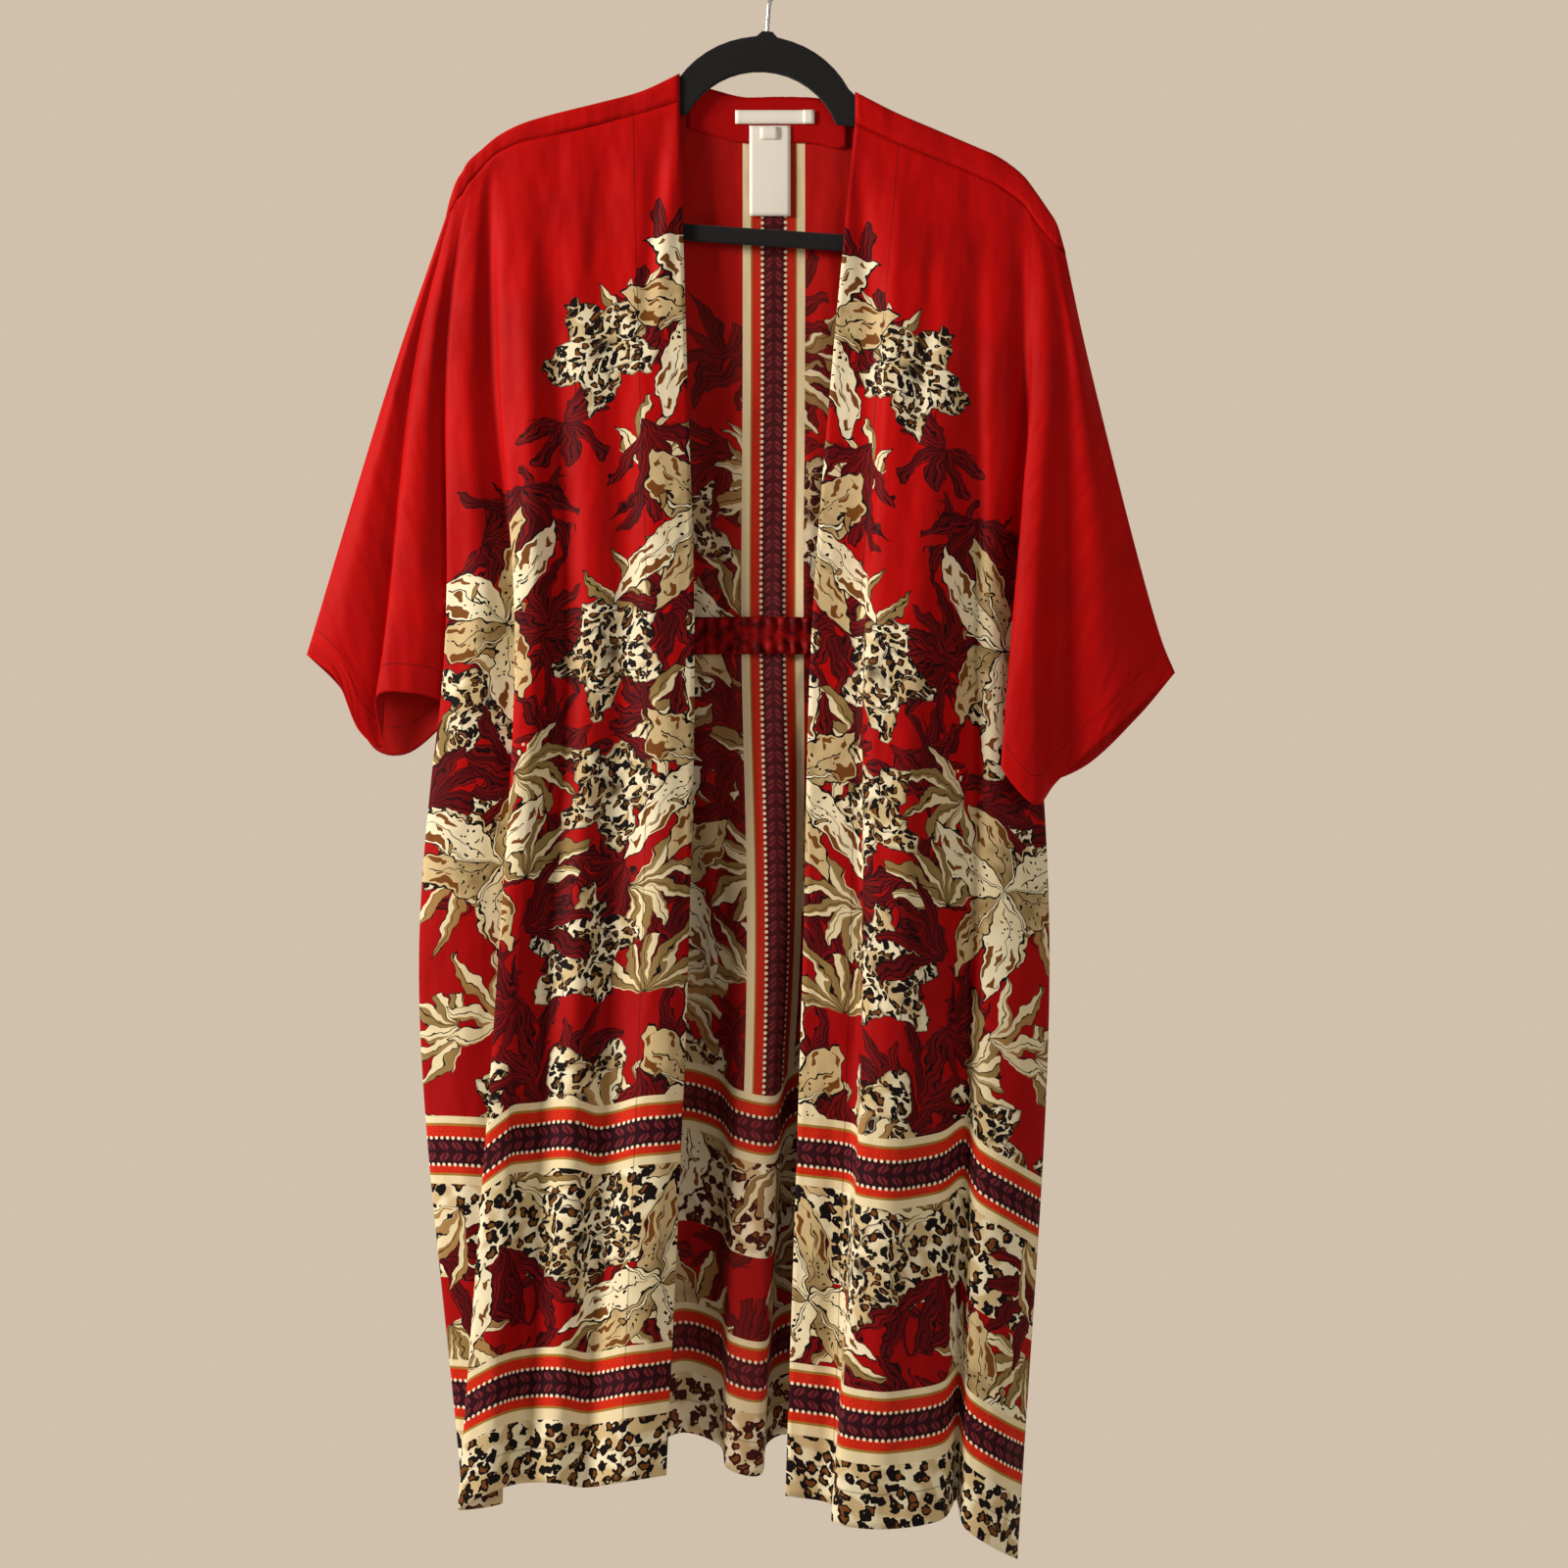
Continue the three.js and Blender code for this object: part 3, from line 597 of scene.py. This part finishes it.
def petal_edge(g, spot, along_it, across_it, length, width, blunt, wobble):
    """How far inside a petal's outline a point lies, in mm, and how far along the petal it is."""
    t = g.div(along_it, length)
    rise = g.math("POWER", g.most(g.least(t, 1.0), 0.0), 0.85)
    half = g.math("POWER", g.most(g.sin(g.mul(rise, math.pi)), 0.0), blunt)
    half = g.mul(g.mul(half, width), g.add(0.78, g.mul(wobble, 0.44)))
    return g.least(g.sub(half, g.size(across_it)), spot.gap), t


def petals(g, color, spot, count, turn, length, width, blunt, wobble, paint, line=1.1, **ring):
    """A ring of outlined petals. paint(inside, t, across) gives the fill."""
    along_it, across_it, number, _ = around(g, spot, count, turn, **ring)
    inside, t = petal_edge(g, spot, along_it, across_it, length, width, blunt, wobble)
    color = g.mix(g.both(g.above(inside, 0.0), spot.on), color, INK)
    return g.mix(g.both(g.above(inside, line), spot.on), color, paint(inside, t, across_it))


def lily(g, color, spot, size, wobble, dashes):
    """A large open blossom of three petals over three, with brushed brown marks, dashes and stamens."""

    def paint_with(base, edge):
        def paint(inside, t, across_it):
            fill = g.mix(g.ramp(g.add(t, g.mul(wobble, 0.6)), 0.3, 0.9), edge, base)
            streaks = g.noise(g.vector(g.mul(t, 3.4), g.mul(across_it, 0.1)), 1.2, 1.0).outputs[0]
            brush = g.both(g.above(streaks, 0.55), g.inside(t, 0.46, 0.84), g.above(inside, 3.0))
            fill = g.mix(brush, fill, BROWN)
            fill = g.mix(g.both(g.below(g.size(across_it), 0.45), g.inside(t, 0.12, 0.72)), fill, INK)
            return g.mix(g.both(dashes, g.inside(t, 0.2, 0.45), g.above(inside, 2.5)), fill, INK)

        return paint

    shape = dict(blunt=0.9, wobble=wobble, squash=0.25, line=1.4)
    behind, before = paint_with(TAN_PALE, OLIVE), paint_with(PALE, CREAM)
    back_bend, front_bend = 0.3 / size, -0.35 / size
    color = petals(
        g, color, spot, 3, math.pi / 3, size * 0.9, size * 0.19, bend=back_bend, paint=behind, **shape
    )
    color = petals(g, color, spot, 3, 0.0, size, size * 0.185, bend=front_bend, paint=before, **shape)
    along_it, across_it, _, _ = around(g, spot, 5, 0.6, bend=0.5 / size, squash=0.25)
    on_stalk = g.both(g.inside(along_it, 2, size * 0.4), spot.on)
    color = g.mix(g.both(g.below(g.size(across_it), 1.5), on_stalk), color, INK)
    color = g.mix(g.both(g.below(g.size(across_it), 0.7), on_stalk), color, PALE)
    tip_x = g.div(g.sub(along_it, size * 0.42), 2.4)
    tip_y = g.div(across_it, 5.2)
    tip = g.add(g.mul(tip_x, tip_x), g.mul(tip_y, tip_y))
    color = g.mix(g.both(g.below(tip, 1.0), spot.on), color, INK)
    return g.mix(g.both(g.below(tip, 0.5), spot.on), color, TAN)


def spotted_blossom(g, color, spot, size, wobble, cat):
    """A round blossom of broad petals, spotted like an ordinary animal print."""

    def paint(inside, t, across_it):
        deep = g.ramp(t, 0.0, 0.34, 0.8, 0.0)
        return g.mix(g.most(deep, g.ramp(inside, 0.6, 3.5, 0.5, 0.0)), cat, INK)

    shape = dict(blunt=0.6, wobble=wobble, paint=paint, line=0.7)
    color = petals(g, color, spot, 5, 0.5, size, size * 0.31, **shape)
    return petals(g, color, spot, 4, 1.4, size * 0.66, size * 0.25, **shape)


def leaf_fan(g, color, spot, count, length, width, wobble, tones, outline, spread_angle, veins=False):
    """A fan of long bent leaves from one place. Their lengths differ, and each half has its own tone."""
    along_it, across_it, number, angle = around(g, spot, count, 0.0, bend=0.5 / length)
    chance = g.math("FRACT", g.mul(g.sin(g.add(g.mul(number, 12.99), g.mul(spot.rand, 40.0))), 437.5))
    reach = g.mul(g.add(0.62, g.mul(chance, 0.38)), length)
    inside, t = petal_edge(g, spot, along_it, across_it, reach, width, 0.8, wobble)
    on = g.both(spot.on, g.below(g.size(angle), spread_angle))
    color = g.mix(g.both(g.above(inside, 0.0), on), color, outline)
    fill = g.mix(g.above(g.add(across_it, g.mul(g.sub(chance, 0.5), width)), 0.0), tones[0], tones[1])
    if veins:
        fill = g.mix(g.below(g.wave(across_it, 3.8), 0.26), fill, outline)
    else:
        fill = g.mix(g.below(g.size(across_it), 0.35), fill, outline)
    return g.mix(g.both(g.above(inside, 0.7), on), color, fill)


def cat_spots(g, flat, size):
    """The pale cloth of an ordinary animal print: broken dark rings about brown hearts."""
    warped = g.vmath("ADD", flat, g.scaled(g.noise(flat, 0.12, 1.0).outputs["Color"], size * 0.8))
    found = g.cells(g.scaled(warped, 1 / size), 0.85)
    d = found.outputs["Distance"]
    rand = g.parts(found.outputs["Color"])
    ragged = g.add(d, g.mul(g.sub(g.noise(flat, 2.6 / size, 1.0).outputs[0], 0.5), 0.34))
    small = g.above(rand[0], 0.55)
    ring = g.inside(ragged, g.mul(g.sub(1.0, small), 0.2), 0.41)
    heart = g.both(g.below(ragged, 0.2), g.sub(1.0, small))
    base = g.mix(g.ramp(g.noise(flat, 0.05, 1.0).outputs[0], 0.42, 0.62), PALE, TAN_PALE)
    return g.mix(heart, g.mix(ring, base, INK), BROWN)


# Border bands by height above the hem, in mm, from the top one down
BANDS = [
    (286.5, 292, CREAM), (284.5, 286.5, GOLD), (275.5, 284.5, ORANGE_RED), (254, 275.5, BAND_DARK),
    (248, 254, ORANGE_RED), (246, 248, GOLD), (239.5, 246, CREAM),
    (98, 103, CREAM), (96, 98, GOLD), (87, 96, ORANGE_RED), (66, 87, BAND_DARK),
    (58.5, 66, ORANGE_RED), (56.5, 58.5, GOLD), (48, 56.5, CREAM),
]
BRAID_MIDDLES = (264.7, 76.5)
DOT_ROWS = (275.0, 254.4, 87.0, 66.2)
BRAID_HALF = 8.4
BRAID_PERIOD = 11.0
CAT_GROUND = (167, 239.5)
HEM_STRIP = 48
HEM_STITCH = 26
CUFF_STITCH = 22
FACING_STITCH = 37
BAND_TOP = 292


def braid(g, color, along, across):
    """Paired slanted leaves on each side of a middle line, as on a laurel braid."""
    out = g.size(across)
    part = g.wave(g.sub(along, g.mul(out, 0.55)), BRAID_PERIOD)
    room = g.sin(g.ramp(out, 0.3, BRAID_HALF, 0.0, math.pi, smooth=False))
    leaf = g.both(g.below(g.size(g.sub(part, 0.5)), g.mul(room, 0.34)), g.below(out, BRAID_HALF))
    color = g.mix(leaf, color, BAND_LEAF)
    rib = g.both(leaf, g.below(g.size(g.sub(part, 0.5)), 0.06))
    return g.mix(rib, color, BAND_DARK)


def dots(g, color, along, across):
    """A row of small pale dots."""
    part = g.mul(g.sub(g.wave(along, 4.6), 0.5), 4.6)
    r = g.math("SQRT", g.add(g.mul(part, part), g.mul(across, across)))
    return g.mix(g.below(r, 1.35), color, PALE)


def border(g, color, u, h, cat):
    """The stripes, braids and dotted lines that run round above the hem, and the spotted hem strip."""
    flecks = g.noise(g.vector(u, h), 1.1, 2.0).outputs[0]
    light = tuple(min(1.0, c * 1.9) for c in ORANGE_RED)
    for low, high, tone in BANDS:
        paint = g.mix(g.ramp(flecks, 0.5, 0.72), tone, light) if tone is ORANGE_RED else tone
        color = g.mix(g.inside(h, low, high), color, paint)
    for middle in BRAID_MIDDLES:
        across = g.sub(h, middle)
        near = g.below(g.size(across), BRAID_HALF)
        color = g.mix(near, color, braid(g, BAND_DARK, u, across))
    for row in DOT_ROWS:
        color = dots(g, color, u, g.sub(h, row))
    return g.mix(g.below(h, HEM_STRIP), color, cat)


def centre_stripe(g, color, u, v, h):
    """The upright stripe down the middle of the back, from the neck to the border."""
    out = g.size(u)
    on = g.above(h, BAND_TOP)
    stripe = g.mix(g.below(out, 18), CREAM, GOLD)
    stripe = g.mix(g.below(out, 16.8), stripe, ORANGE_RED)
    stripe = g.mix(g.below(out, 9.2), stripe, BAND_DARK)
    stripe = braid(g, stripe, v, g.mul(u, BRAID_HALF / 7.0))
    stripe = dots(g, stripe, v, g.sub(out, 9.0))
    return g.mix(g.both(g.below(out, 24.3), on), color, stripe)


# The motifs' repeats and sizes on the flat cloth, in mm
LILY_CELL, LILY_SIZE = 196, 98
BLOSSOM_CELL, BLOSSOM_SIZE = 114, 51
BIG_CAT, SMALL_CAT = 10.5, 6.6
DASH_CELL = 6.4
HAND_WANDER = 16.0
STITCH_HALF = 0.55
RUMPLE_HEIGHT = 30.0

CLOTH_SURFACE = {
    "Roughness": 0.62, "Specular IOR Level": 0.08, "Sheen Weight": 0.02, "Sheen Roughness": 0.4,
}
PLAIN_SURFACE = {"Roughness": 0.62, "Specular IOR Level": 0.08}

# Leaf fans, in the order in which they are drawn: cell, length and width in mm, half the fan in radians
FANS = """
  name       cell seed count length width half
  darkLow      84    1     9     60   6.5  2.2
  darkHigh     96    5    11     70   6.5  1.9
  pale        104    2    13     74   6.5  1.5
  darkTop     118    8    12     78   6.5  1.1
  paleTop     134    6    12     84   7.0  0.9
"""


def print_material(name, seed, start, slant, reach, facing=False, middle=False):
    """The printed cloth of a panel. The print thins out above start and by slant away from u = 0, and
    ends reach mm from there."""
    g = Nodes(name)
    cloth = g.node("ShaderNodeAttribute", attribute_name="cloth").outputs["Vector"]
    trim = g.node("ShaderNodeAttribute", attribute_name="trim").outputs["Vector"]
    u, v, h = g.parts(cloth)
    cuff, side, _ = g.parts(trim)
    flat = g.vector(u, v)
    hand = g.vmath("SUBTRACT", g.noise(flat, 0.05, 2.0).outputs["Color"], (0.5, 0.5, 0.5))
    drawn = g.vmath("ADD", flat, g.scaled(hand, HAND_WANDER))
    wobble = g.noise(flat, 0.035, 1.0).outputs[0]
    ruffle = g.noise(flat, 0.075, 1.0).outputs[0]
    big_cat = cat_spots(g, flat, BIG_CAT)
    small_cat = cat_spots(g, drawn, SMALL_CAT)
    dashes = g.below(g.cells(g.scaled(drawn, 1 / DASH_CELL), 1.0).outputs["Distance"], 0.16)

    def share(most, fade=60, ahead=0):
        """How likely a motif is at its place: less near the shoulder and away from the open edge."""

        def keep(cu, cv, rand):
            down = g.sub(cv, g.mul(g.size(cu), slant))
            return g.below(rand, g.ramp(down, start - ahead, start - ahead + fade, 0.0, most))

        return keep

    def quiet(cu, cv, rand):
        chance = g.ramp(g.sub(cv, g.mul(g.size(cu), slant * 0.55)), start - 10, start + 90)
        return g.both(g.below(rand, chance), g.below(g.size(cu), reach))

    ground = g.mix(g.ramp(g.noise(flat, 0.012, 2.0).outputs[0], 0.35, 0.7), RED, RED_SOFT)
    ground = g.mix(g.ramp(v, 350, 700, 0.0, 0.7), ground, DEEP_RED)
    color = g.mix(g.inside(h, *CAT_GROUND), ground, big_cat)
    off_cat = g.sub(1.0, g.inside(h, *CAT_GROUND))
    off_sleeve = g.above(cuff, FAR / 2)

    rows = {f["name"]: f for f in table(FANS)}

    def fan(color, row, keep, mask, tones, line, veins=False):
        f = rows[row]
        spot = motif_cells(g, drawn, f["cell"], seed + f["seed"], keep)
        spot = spot._replace(on=g.mul(spot.on, mask))
        size = f["count"], f["length"], f["width"]
        return leaf_fan(g, color, spot, *size, wobble, tones, line, f["half"], veins)

    dark = ((WINE, MAROON), DARK_MAROON, True)
    color = fan(color, "darkLow", quiet, off_cat, *dark)
    color = fan(color, "darkHigh", quiet, off_cat, *dark)
    color = fan(color, "pale", share(0.95, ahead=40), off_sleeve, (CREAM, OLIVE), INK)
    spot = motif_cells(g, drawn, BLOSSOM_CELL, seed + 3, share(0.66, ahead=20), randomness=0.4)
    spot = spot._replace(on=g.mul(spot.on, off_sleeve))
    color = spotted_blossom(g, color, spot, BLOSSOM_SIZE, ruffle, small_cat)
    color = fan(color, "darkTop", share(0.62), off_sleeve, *dark)
    color = fan(color, "paleTop", share(0.5), off_sleeve, (CREAM, TAN), INK)
    spot = motif_cells(g, drawn, LILY_CELL, seed + 4, share(0.95), randomness=0.3)
    color = lily(g, color, spot._replace(on=g.mul(spot.on, off_sleeve)), LILY_SIZE, ruffle, dashes)
    if middle:
        color = centre_stripe(g, color, u, v, h)
    color = border(g, color, u, h, big_cat)

    seams = [(h, HEM_STITCH), (cuff, CUFF_STITCH)] + ([(u, FACING_STITCH)] if facing else [])
    stitch = 0.0
    for place, where in seams:
        stitch = g.most(stitch, g.below(g.size(g.sub(place, where)), STITCH_HALF))
    color = g.mix(g.mul(stitch, 0.45), color, DARK_MAROON)
    color = g.mix(g.mul(side, 0.2), color, linear(120, 36, 28))
    weave = g.mul(g.sin(g.mul(u, 9.0)), g.sin(g.mul(v, 9.0)))
    slub = g.noise(g.vmath("MULTIPLY", flat, (1.0, 0.1, 1.0)), 0.5, 1.0).outputs[0]
    rumple = g.noise(g.vmath("MULTIPLY", flat, (1.0, 0.4, 1.0)), 0.03, 2.0).outputs[0]
    fine = g.sub(g.mul(weave, 0.12), g.mul(stitch, 0.8))
    height = g.add(fine, g.add(g.mul(slub, 0.4), g.mul(rumple, RUMPLE_HEIGHT)))
    return g.finish(color, CLOTH_SURFACE, height, 0.35)


def plain_material(name, color, surface, grain=0.0, scale=900.0):
    """One colour with a fine grain in tone and height."""
    g = Nodes(name)
    place = g.node("ShaderNodeTexCoord").outputs["Object"]
    grains = g.noise(place, scale, 3.0, space="3D").outputs[0]
    tone = g.mix(g.ramp(grains, 0.3, 0.7), tuple(c * (1 - grain) for c in color), color)
    return g.finish(tone, surface, grains, 0.4)


def label_material():
    """Blank satin tape: pale, with fine ribs across that also set its tone."""
    g = Nodes("label")
    cloth = g.node("ShaderNodeAttribute", attribute_name="cloth").outputs["Vector"]
    u, v, _ = g.parts(cloth)
    ribs = g.sin(g.mul(v, 7.0))
    tone = g.mix(g.ramp(ribs, -1, 1), linear(222, 216, 204), linear(240, 236, 226))
    return g.finish(tone, {"Roughness": 0.45, "Sheen Weight": 0.1}, ribs, 0.15)


# The pieces


def place_in_frame(thing, material, slot, *nodes):
    """A finished piece: its material, its body and the CAD nodes that it stands for. The slot is not used.
    """
    thing.data.materials.append(material)
    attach(thing, "root")
    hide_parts(*nodes)
    return thing


CREASE_DEPTH = 2.0


def soft_creases(points, places, quads, creases):
    """Moves the cloth along its normal by soft ridges and troughs, each from (u0, v0) to (u1, v1)."""
    normal = normals_of(points, quads)
    u, v = places[:, 0], places[:, 1]
    lift = np.zeros(len(points))
    for u0, v0, u1, v1, width, height in creases:
        du, dv = u1 - u0, v1 - v0
        t = np.clip(((u - u0) * du + (v - v0) * dv) / (du * du + dv * dv), 0, 1)
        gap = np.hypot(u - u0 - t * du, v - v0 - t * dv)
        swell = np.sin(np.pi * np.clip(t, 0.03, 0.97)) ** 0.6
        lift += CREASE_DEPTH * height * np.exp(-((gap / width) ** 2)) * swell
    return points + normal * lift[:, None]


RIGHT_CREASES = [
    (2, 20, 22, 150, 7, -2.2), (14, 14, 34, 190, 8, 2.0), (60, 8, 72, 160, 11, 1.4),
    (118, 60, 128, 330, 10, -1.8), (150, 20, 158, 260, 8, 1.6), (40, 420, 52, 900, 13, 1.6),
    (92, 560, 84, 980, 12, -1.6), (140, 480, 150, 900, 14, 1.8), (178, 200, 200, 420, 9, -1.5),
    (12, 600, 18, 1010, 9, -1.4), (200, 260, 236, 440, 10, 1.5), (64, 250, 70, 520, 12, -1.3),
]
LEFT_CREASES = [
    (4, 12, 26, 150, 8, -2.0), (36, 20, 44, 260, 9, 1.6), (70, 30, 78, 330, 9, -1.6),
    (96, 200, 100, 620, 12, 1.6), (30, 420, 40, 900, 12, 1.4), (120, 520, 132, 980, 14, -1.8),
    (150, 260, 158, 420, 9, 1.4), (64, 640, 70, 1020, 12, -1.6), (160, 120, 170, 330, 8, -1.5),
    (190, 200, 214, 400, 10, 1.4), (14, 700, 20, 1030, 8, 1.4), (100, 760, 108, 1040, 11, 1.5),
]
BACK_CREASES = [
    (-150, 40, -140, 420, 14, -1.8), (-90, 60, -70, 480, 13, 1.6), (60, 60, 70, 470, 13, -1.6),
    (130, 60, 120, 420, 14, 1.8), (-40, 300, -34, 430, 9, 1.4), (34, 300, 28, 430, 9, 1.4),
    (-110, 480, -130, 1000, 16, 1.8), (96, 480, 120, 1000, 16, -1.8), (-60, 470, -50, 800, 10, 1.5),
    (50, 470, 60, 800, 10, 1.5), (-20, 460, -14, 700, 8, -1.3), (150, 500, 160, 1000, 15, 1.6),
    (-180, 420, -186, 960, 14, -1.5), (12, 470, 8, 760, 8, 1.2),
]
GATHER_V = 430.0
GATHER_HALF = 120.0


def gathered(points, places, quads):
    """Small folds that spread from the waist casing up and down the back."""
    u, v = places[:, 0], places[:, 1]
    fade = np.exp(-(((v - GATHER_V) / 70.0) ** 2)) * (1 / (1 + np.exp((np.abs(u) - GATHER_HALF) / 8)))
    lift = fade * (1.1 * np.sin(u * 0.33) + 0.7 * np.sin(u * 0.21 + 1.0))
    return points + normals_of(points, quads) * lift[:, None]


def panel(name, patches, creases, material, gathers=False, turned=False):
    points, places, quads = joined(patches.values())
    points = soft_creases(points, places, quads, creases)
    if gathers:
        points = gathered(points, places, quads)
    thing = shell(name, points, places, quads, turned=turned)
    return place_in_frame(thing, material, "cloth", name)


right = front_patches(FRONT_RIGHT, SLEEVE_RIGHT)
left = front_patches(FRONT_LEFT, SLEEVE_LEFT)
back = back_patches()
back_rows = list(back["upper"].points) + list(back["body"].points[1:])


def back_face(x, z):
    """How far back the back lies, at a place across and a height, between the shoulders and the hips."""
    ys = [np.interp(x, row[:, 0], row[:, 1]) for row in back_rows]
    zs = [np.interp(x, row[:, 0], row[:, 2]) for row in back_rows]
    return float(np.interp(-z, -np.array(zs), ys))


def strip_on_back(name, xs, tops, bottoms, rows, lift, wall, material, slot):
    """A strip of cloth or tape that lies on the back's inner face, lift(x, share down) mm in front."""
    points = np.zeros((rows + 1, len(xs), 3))
    for i, x in enumerate(xs):
        for j in range(rows + 1):
            z = tops[i] + (bottoms[i] - tops[i]) * j / rows
            points[j, i] = (x, back_face(x, z) - lift(x, j / rows), z)
    patch = Patch(points, along(points, 1) + 400, along(points, 0), FAR, FAR)
    thing = shell(name, *joined([patch]), wall=wall)
    return place_in_frame(thing, material, slot, name)


FACING_HALF = 62
FACING_DEPTH = 36
neck_row = back["upper"].points[0]
neck_z = lambda x: float(np.interp(x, neck_row[:, 0], neck_row[:, 2]))
CASING_TOP, CASING_BOTTOM, CASING_HALF = -523.0, -552.0, 124.0
GATHERS = 26
GATHER_HEIGHT = 3.4
STRIP_WALL, TAPE_WALL = 0.6, 0.35
FACING_LIFT, CASING_LIFT = 1.3, 3.0

front_print = print_material("cloth_front", 2, 72, 1.35, 222, facing=True)
back_print = print_material("cloth_back", 17, 150, 0.9, 262, middle=True)
plain_red = plain_material("cloth_plain", RED_SOFT, PLAIN_SURFACE, 0.15)
casing_cloth = plain_material("cloth_casing", DEEP_RED, PLAIN_SURFACE, 0.85, 130)
tape = label_material()

front_right = panel("front_right", right, RIGHT_CREASES, front_print, turned=True)
front_left = panel("front_left", left, LEFT_CREASES, front_print)
back_panel = panel("back", back, BACK_CREASES, back_print, gathers=True, turned=True)

facing_x = np.linspace(-FACING_HALF, FACING_HALF, 42)
strip_on_back(
    "neck_facing", facing_x, [neck_z(x) - 0.5 for x in facing_x],
    [neck_z(x) - FACING_DEPTH for x in facing_x], 10, lambda x, t: FACING_LIFT, STRIP_WALL, plain_red,
    "cloth",
)


def casing_lift(x, t):
    """How far the gathered casing stands off the back, at a place across and a share down."""
    wave = 0.5 * (1 + math.sin(x * math.pi * GATHERS / CASING_HALF))
    return CASING_LIFT + GATHER_HEIGHT * wave * (0.55 + 0.45 * math.sin(9 * t))


casing_x = np.linspace(-CASING_HALF, CASING_HALF, GATHERS * 8 + 1)
casing = strip_on_back(
    "waist_casing", casing_x, [CASING_TOP] * len(casing_x), [CASING_BOTTOM] * len(casing_x), 12,
    casing_lift, STRIP_WALL, casing_cloth, "cloth",
)
LABELS = """
  name          left   top width height lift
  label_main   -25.0  -129    61   10.6  2.4
  label_size    27.5  -129     9   10.6  3.2
  label_care   -14.0  -141    32   70.0  2.4
  label_origin  -6.0  -142    15   10.0  3.2
"""
for row in table(LABELS):
    xs = np.linspace(row["left"], row["left"] + row["width"], max(4, round(row["width"] / 3)))
    strip_on_back(
        row["name"], xs, [row["top"]] * len(xs), [row["top"] - row["height"]] * len(xs),
        max(4, round(row["height"] / 3)), lambda x, t: row["lift"] + 0.5 * math.sin(3 * t), TAPE_WALL, tape,
        "label",
    )

FLOCK_BLACK = (0.012, 0.012, 0.013)
FLOCK_SURFACE = {"Roughness": 0.95, "Specular IOR Level": 0.2, "Sheen Weight": 0.08}
flock = plain_material("flock", FLOCK_BLACK, FLOCK_SURFACE, 0.5, 1400)
steel = plain_material("wire", (0.66, 0.66, 0.64), {"Roughness": 0.28, "Metallic": 1.0}, 0.06, 300)
for node, material in (("hanger_body", flock), ("hanger_hook", steel)):
    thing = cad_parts[node]
    thing.data.materials.clear()
    thing.data.materials.append(material)


# Stage, lights and camera

FRAME_WIDTH = 1.216
VIEW_DISTANCE = 2.0
VIEW_CENTRE = Vector((0.0083, 0.0, -0.653))

camera_data = bpy.data.cameras.new("camera")
camera_data.sensor_width = 36
camera_data.lens = 36 * VIEW_DISTANCE / FRAME_WIDTH
camera = bpy.data.objects.new("camera", camera_data)
camera.location = VIEW_CENTRE - Vector((0, VIEW_DISTANCE, 0))
camera.rotation_euler = (math.pi / 2, 0, 0)
bpy.context.scene.collection.objects.link(camera)
bpy.context.scene.camera = camera


def soft_light(name, place, size, power, tint):
    data = bpy.data.lights.new(name, "AREA")
    data.size = size
    data.energy = power
    data.color = tint
    lamp = bpy.data.objects.new(name, data)
    lamp.location = place
    lamp.rotation_euler = (VIEW_CENTRE - Vector(place)).to_track_quat("-Z", "Y").to_euler()
    bpy.context.scene.collection.objects.link(lamp)


soft_light("key", (-2.2, -1.0, 0.3), 0.7, 84, (1.0, 0.94, 0.86))
soft_light("fill", (1.6, -2.2, -0.2), 1.4, 15, (1.0, 0.95, 0.9))
soft_light("rear", (0.4, 2.4, 0.9), 1.6, 12, (1.0, 0.98, 0.95))

FLOOR_Z = -1.9
FLOOR_HALF = 2
corners = [(x * FLOOR_HALF, y * FLOOR_HALF, FLOOR_Z) for x, y in ((-1, -1), (1, -1), (1, 1), (-1, 1))]
floor_mesh = bpy.data.meshes.new("floor")
floor_mesh.from_pydata(corners, [], [(0, 1, 2, 3)])
floor = bpy.data.objects.new("floor", floor_mesh)
floor.data.materials.append(plain_material("floor", (0.72, 0.71, 0.69), {"Roughness": 0.8}, 0.02, 40))
bpy.context.scene.collection.objects.link(floor)

# The surroundings: a pale backdrop behind the garment, and a dimmer room on the viewer's side
ROOM_COLOR = (0.55, 0.46, 0.36, 1)
FACING_VIEWER, FACING_WALL = -0.2, 0.5
ROOM_LIGHT, WALL_LIGHT = 0.32, 1.15
world = bpy.data.worlds.new("studio")
world.use_nodes = True
sky = world.node_tree
direction = sky.nodes.new("ShaderNodeSeparateXYZ")
sky.links.new(sky.nodes.new("ShaderNodeTexCoord").outputs["Generated"], direction.inputs[0])
dimming = sky.nodes.new("ShaderNodeMapRange")
sky.links.new(direction.outputs["Y"], dimming.inputs[0])
for socket, value in enumerate((FACING_VIEWER, FACING_WALL, ROOM_LIGHT, WALL_LIGHT), 1):
    dimming.inputs[socket].default_value = value
backdrop = sky.nodes["Background"]
backdrop.inputs[0].default_value = ROOM_COLOR
sky.links.new(dimming.outputs[0], backdrop.inputs[1])
bpy.context.scene.world = world
bpy.context.scene.view_settings.view_transform = "Standard"
